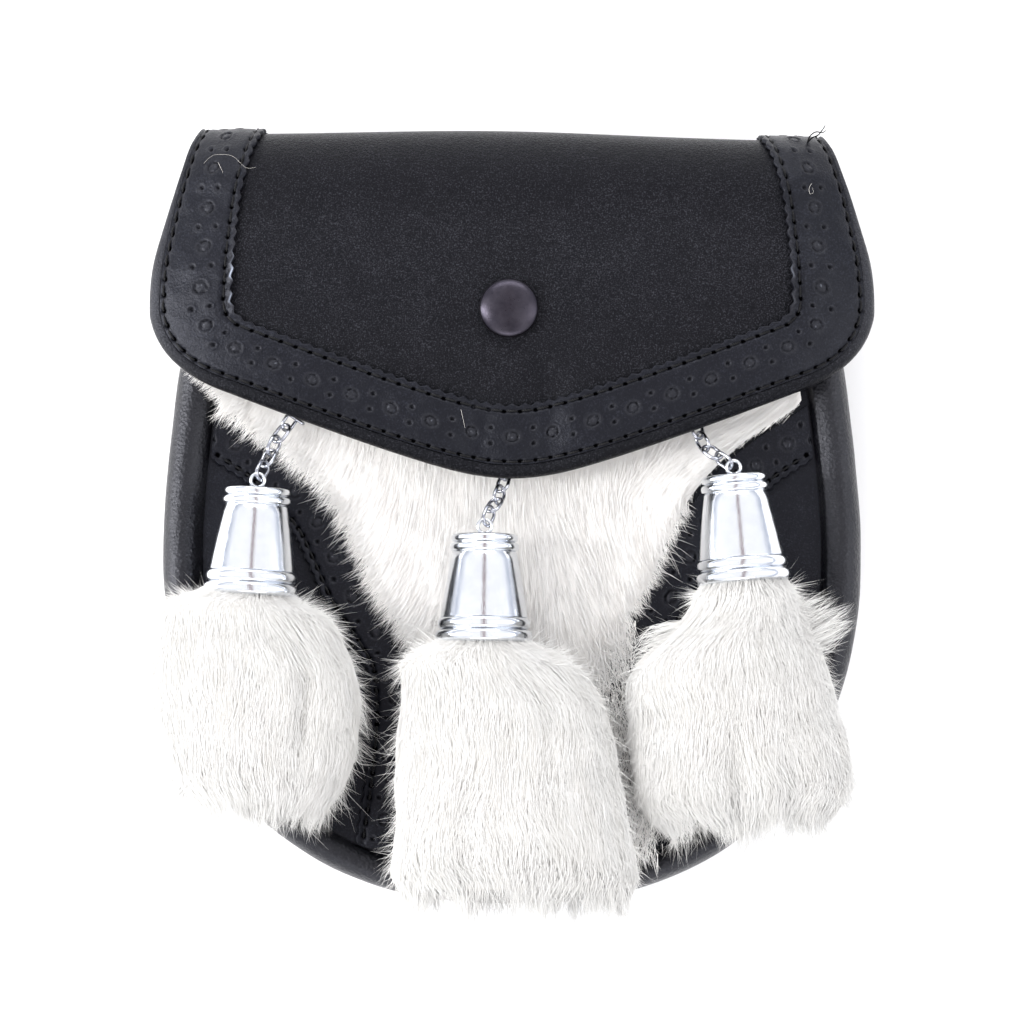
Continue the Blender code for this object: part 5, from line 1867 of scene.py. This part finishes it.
def eye_wire(cone, before):
    """The place on the wire of a cone's eye that faces the point before."""
    matrix = cone_frame(cone)
    middle = matrix @ Vector((0.0, 0.0, CONE_LENGTH + EYE_RISE))
    out_of_plane = matrix.to_3x3().col[1]
    lead = before - middle
    lead -= out_of_plane * lead.dot(out_of_plane)
    return middle + lead.normalized() * EYE_RADIUS


def make_chains():
    """Links on the same places as the frame's, and the staples that they hang from."""
    points, faces = wire(link_path())
    for cone in CONES:
        path = [Vector(on_front(*stop)) for stop in CHAIN_ROUTES[cone.side]]
        path.append(eye_wire(cone, path[-1]))
        length = sum((end - start).length for start, end in zip(path, path[1:]))
        count = math.ceil((length + 2 * LINK_HALF_LENGTH) / MAX_PITCH) - 1
        pitch = (length + 2 * LINK_HALF_LENGTH) / (count + 1)
        reach = LINK_HALF_LENGTH - pitch / 2
        ends = [along_path(path, pitch * k - reach) for k in range(count + 1)]
        for k, (start, end) in enumerate(zip(ends, ends[1:])):
            way = (end - start).normalized()
            roll = math.radians(45 if k % 2 else -45)
            side = way.cross(Vector((0.0, 0.0, 1.0))).normalized()
            wide = Matrix.Rotation(roll, 3, way) @ side
            turn = Matrix((way, wide, way.cross(wide))).transposed().to_4x4()
            matrix = Matrix.Translation((start + end) / 2) @ turn
            mesh = mesh_of(carried(matrix, points), faces, sharp=80)
            object_from(f"link_{cone.side}_{k + 1}_metal", mesh, LOOKS["steel"],
                        [f"link_{cone.side}_{k + 1}"])

        lead = path[1] - path[0]
        facing = Matrix.Rotation(math.atan2(lead.x, -lead.y), 4, "Z")
        matrix = Matrix.Translation(path[0]) @ facing
        staple = wire(carried(matrix, staple_path()))
        object_from(f"chain_anchor_{cone.side}_metal", mesh_of(*staple, sharp=80),
                    LOOKS["steel"], [f"chain_anchor_{cone.side}"])


def staple_path(steps=5):
    """A box staple in XZ with rounded corners, the middle of its top at the origin."""
    wide = ANCHOR_WIDTH / 2
    deep = ANCHOR_HEIGHT - 2 * WIRE_RADIUS
    radius = ANCHOR_CORNER
    corners = ((wide - radius, -radius, 90), (wide - radius, radius - deep, 0),
               (radius - wide, radius - deep, -90), (radius - wide, -radius, -180))
    return [(x + radius * math.cos(turn), 0.0, z + radius * math.sin(turn))
            for x, z, start in corners
            for turn in np.radians(np.linspace(start, start - 90, steps))]


def make_snap():
    rows = [(0.0, SNAP_RISE)]
    for turn in np.radians(np.linspace(90, 0, 16))[1:-1]:
        rows.append((SNAP_RADIUS * math.cos(turn) ** 0.92,
                     SNAP_RISE * math.sin(turn) ** 0.8))
    rows += [(SNAP_RADIUS, 0.0001), (SNAP_RADIUS - 0.0002, -0.0002), (0.0, -0.0002)]
    points, faces = turned(rows, SNAP_SIDES)
    x, y = SNAP_AT
    low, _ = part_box("snap_cap")
    tilt = Matrix.Rotation(-PANEL_TILT, 4, "X")
    place = Vector((x, y, low.z + 0.0002 + SNAP_RADIUS * math.sin(PANEL_TILT)))
    matrix = Matrix.Translation(place) @ tilt
    mesh = mesh_of(carried(matrix, points), faces, sharp=50)
    object_from("snap_cap_metal", mesh, LOOKS["gunmetal"], ["snap_cap"])


THREAD_FROM = (0.0742, 0.0975)  # (x, y) on the fold where the loose thread starts
THREAD_RADIUS = 0.00022
THREAD_STEPS = 14

# Knots of the two ends of the loose thread, from there
THREAD_ENDS = [
    [(0, 0, 0), (0.0006, 0.0016, 0.0010), (0.0020, 0.0026, 0.0018),
     (0.0036, 0.0024, 0.0022), (0.0046, 0.0030, 0.0020)],
    [(0.0002, 0.0003, 0), (0.0012, 0.0012, 0.0012), (0.0026, 0.0018, 0.0022),
     (0.0040, 0.0036, 0.0024), (0.0044, 0.0044, 0.0022)],
]


def make_loose_thread():
    """The ends of thread that stand up from the seam at the top right of the flap."""
    x, y = THREAD_FROM
    turn = math.acos((y - MOUTH_Y) / (FOLD_RISE + GAP + BORDER_THICKNESS))
    root = np.array([x, y, fold_z(x, turn) - 0.0005])
    taper = np.linspace(1.0, 0.5, THREAD_STEPS)
    parts = [tube(curve_through(root + np.array(knots), THREAD_STEPS),
                  THREAD_RADIUS, 6, taper=taper) for knots in THREAD_ENDS]
    object_from("loose_thread", mesh_of(*joined(parts)), LOOKS["thread"])


# (x, y) of the knots of the hairs shed on the flap's border
SHED_HAIRS = [
    [(-0.0772, 0.0920), (-0.0757, 0.0935), (-0.0740, 0.0942), (-0.0700, 0.0938),
     (-0.0665, 0.0908), (-0.0640, 0.0908)],
    [(-0.0735, 0.0922), (-0.0722, 0.0895)],
    [(-0.0127, 0.0302), (-0.0117, 0.0257)],
    [(0.0748, 0.0868), (0.0742, 0.0855), (0.0745, 0.0842), (0.0753, 0.0847),
     (0.0750, 0.0858)],
]
SHED_LIFT = 0.0020              # over the flap's face, so just over its border
SHED_RADIUS = 0.00004


def make_shed_hairs():
    parts = []
    for knots in SHED_HAIRS:
        x, y = curve_through(np.array(knots), 5 * len(knots)).T
        turn = np.arccos(np.clip((y - MOUTH_Y) / (FOLD_RISE + SHED_LIFT), 0.0, 1.0))
        z = np.where(y > MOUTH_Y, fold_z(x, turn), flap_z(x, y))
        path = np.stack([x, y, z + SHED_LIFT * np.sin(turn)], axis=1)
        parts.append(tube(path, SHED_RADIUS, 3, taper=np.linspace(1.0, 0.6, len(path))))
    object_from("shed_hairs", mesh_of(*joined(parts)), LOOKS["tassel_fur"])


# ---------------------------------------------------------------- kept solids


KEPT_NODES = {
    "back_panel": "grained",
    "front_panel": "smooth",
    "belt_loop": "grained",
    "snap_post": "gunmetal",
}


def dress_kept_nodes():
    """Materials of the frame's solids that stay in sight."""
    for node, look in KEPT_NODES.items():
        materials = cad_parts[node].data.materials
        materials.clear()
        materials.append(LOOKS[look])


# ---------------------------------------------------------------- the studio

Lamp = namedtuple("Lamp", "name place size power")

LAMPS = [
    Lamp("left_strip", (-1.10, 0.05, 0.58), (0.26, 1.3), 19.0),
    Lamp("right_box", (0.95, 0.05, 0.75), (0.50, 1.2), 4.0),
    Lamp("top_box", (0.0, 1.05, 0.55), (1.2, 0.40), 7.5),
    Lamp("front_fill", (0.0, -1.00, 0.70), (1.0, 0.40), 5.0),
]
LAMPS_FACE = (0.0, 0.0, 0.03)
TENT_LIGHT = 1.36
FLOOR_REACH = 4
EYE = (0.0, 0.00475, 2.2)       # the camera looks straight down from here
LENS = 305.4                    # mm, on a sensor of 36 mm


def hang_lamp(lamp):
    light = bpy.data.lights.new(lamp.name, "AREA")
    light.shape = "RECTANGLE"
    light.size, light.size_y = lamp.size
    light.energy = lamp.power
    piece = bpy.data.objects.new(lamp.name, light)
    piece.location = lamp.place
    way = Vector(LAMPS_FACE) - Vector(lamp.place)
    piece.rotation_euler = way.to_track_quat("-Z", "Y").to_euler()
    piece.visible_camera = False
    bpy.context.scene.collection.objects.link(piece)


def studio_world():
    """A white tent round the table, bluish at the horizon, with a dark slit over it."""
    g = Graph(bpy.data.worlds.new("studio"), "Background", "Generated")
    up = g.coordinate("Z")
    sky = g.colours(up, (0.0, (0.42, 0.46, 0.56)), (0.12, (0.55, 0.58, 0.66)),
                    (0.35, (0.92, 0.93, 0.96)), (0.90, (0.95, 0.95, 0.97)))
    aside = g.maths("ABSOLUTE", g.coordinate("X"))
    slit = g.ranged(aside, 0.03, 0.11, 0.85, 0.0, "SMOOTHSTEP")
    high = g.ranged(up, 0.45, 0.75, kind="SMOOTHSTEP")
    shade = g.maths("MULTIPLY", slit, high)
    g.set(Color=g.mixed(shade, sky, (0.17, 0.08, 0.09, 1.0)), Strength=TENT_LIGHT)
    return g.owner


def make_studio():
    scene = bpy.context.scene
    far = FLOOR_REACH
    mesh = mesh_of([(-far, -far, 0), (far, -far, 0), (far, far, 0), (-far, far, 0)],
                   [(0, 1, 2, 3)])
    mesh.materials.append(pale_floor())
    floor = bpy.data.objects.new("floor", mesh)
    scene.collection.objects.link(floor)

    scene.world = studio_world()
    for lamp in LAMPS:
        hang_lamp(lamp)

    camera = bpy.data.cameras.new("camera")
    camera.lens = LENS
    camera.sensor_width = 36.0
    camera.clip_end = 50.0
    eye = bpy.data.objects.new("camera", camera)
    eye.location = EYE
    scene.collection.objects.link(eye)
    scene.camera = eye
    scene.view_settings.view_transform = "Standard"
    scene.view_settings.look = "None"


# ---------------------------------------------------------------- the whole sporran

make_gusset()
make_flap()
make_border()
make_side_band("left", -1)
make_side_band("right", 1)
make_fur_panel()
for number, tassel_cone in enumerate(CONES):
    make_tassel(tassel_cone, TASSEL_SEED + number)
make_cones()
make_chains()
make_snap()
make_loose_thread()
make_shed_hairs()
dress_kept_nodes()
make_studio()
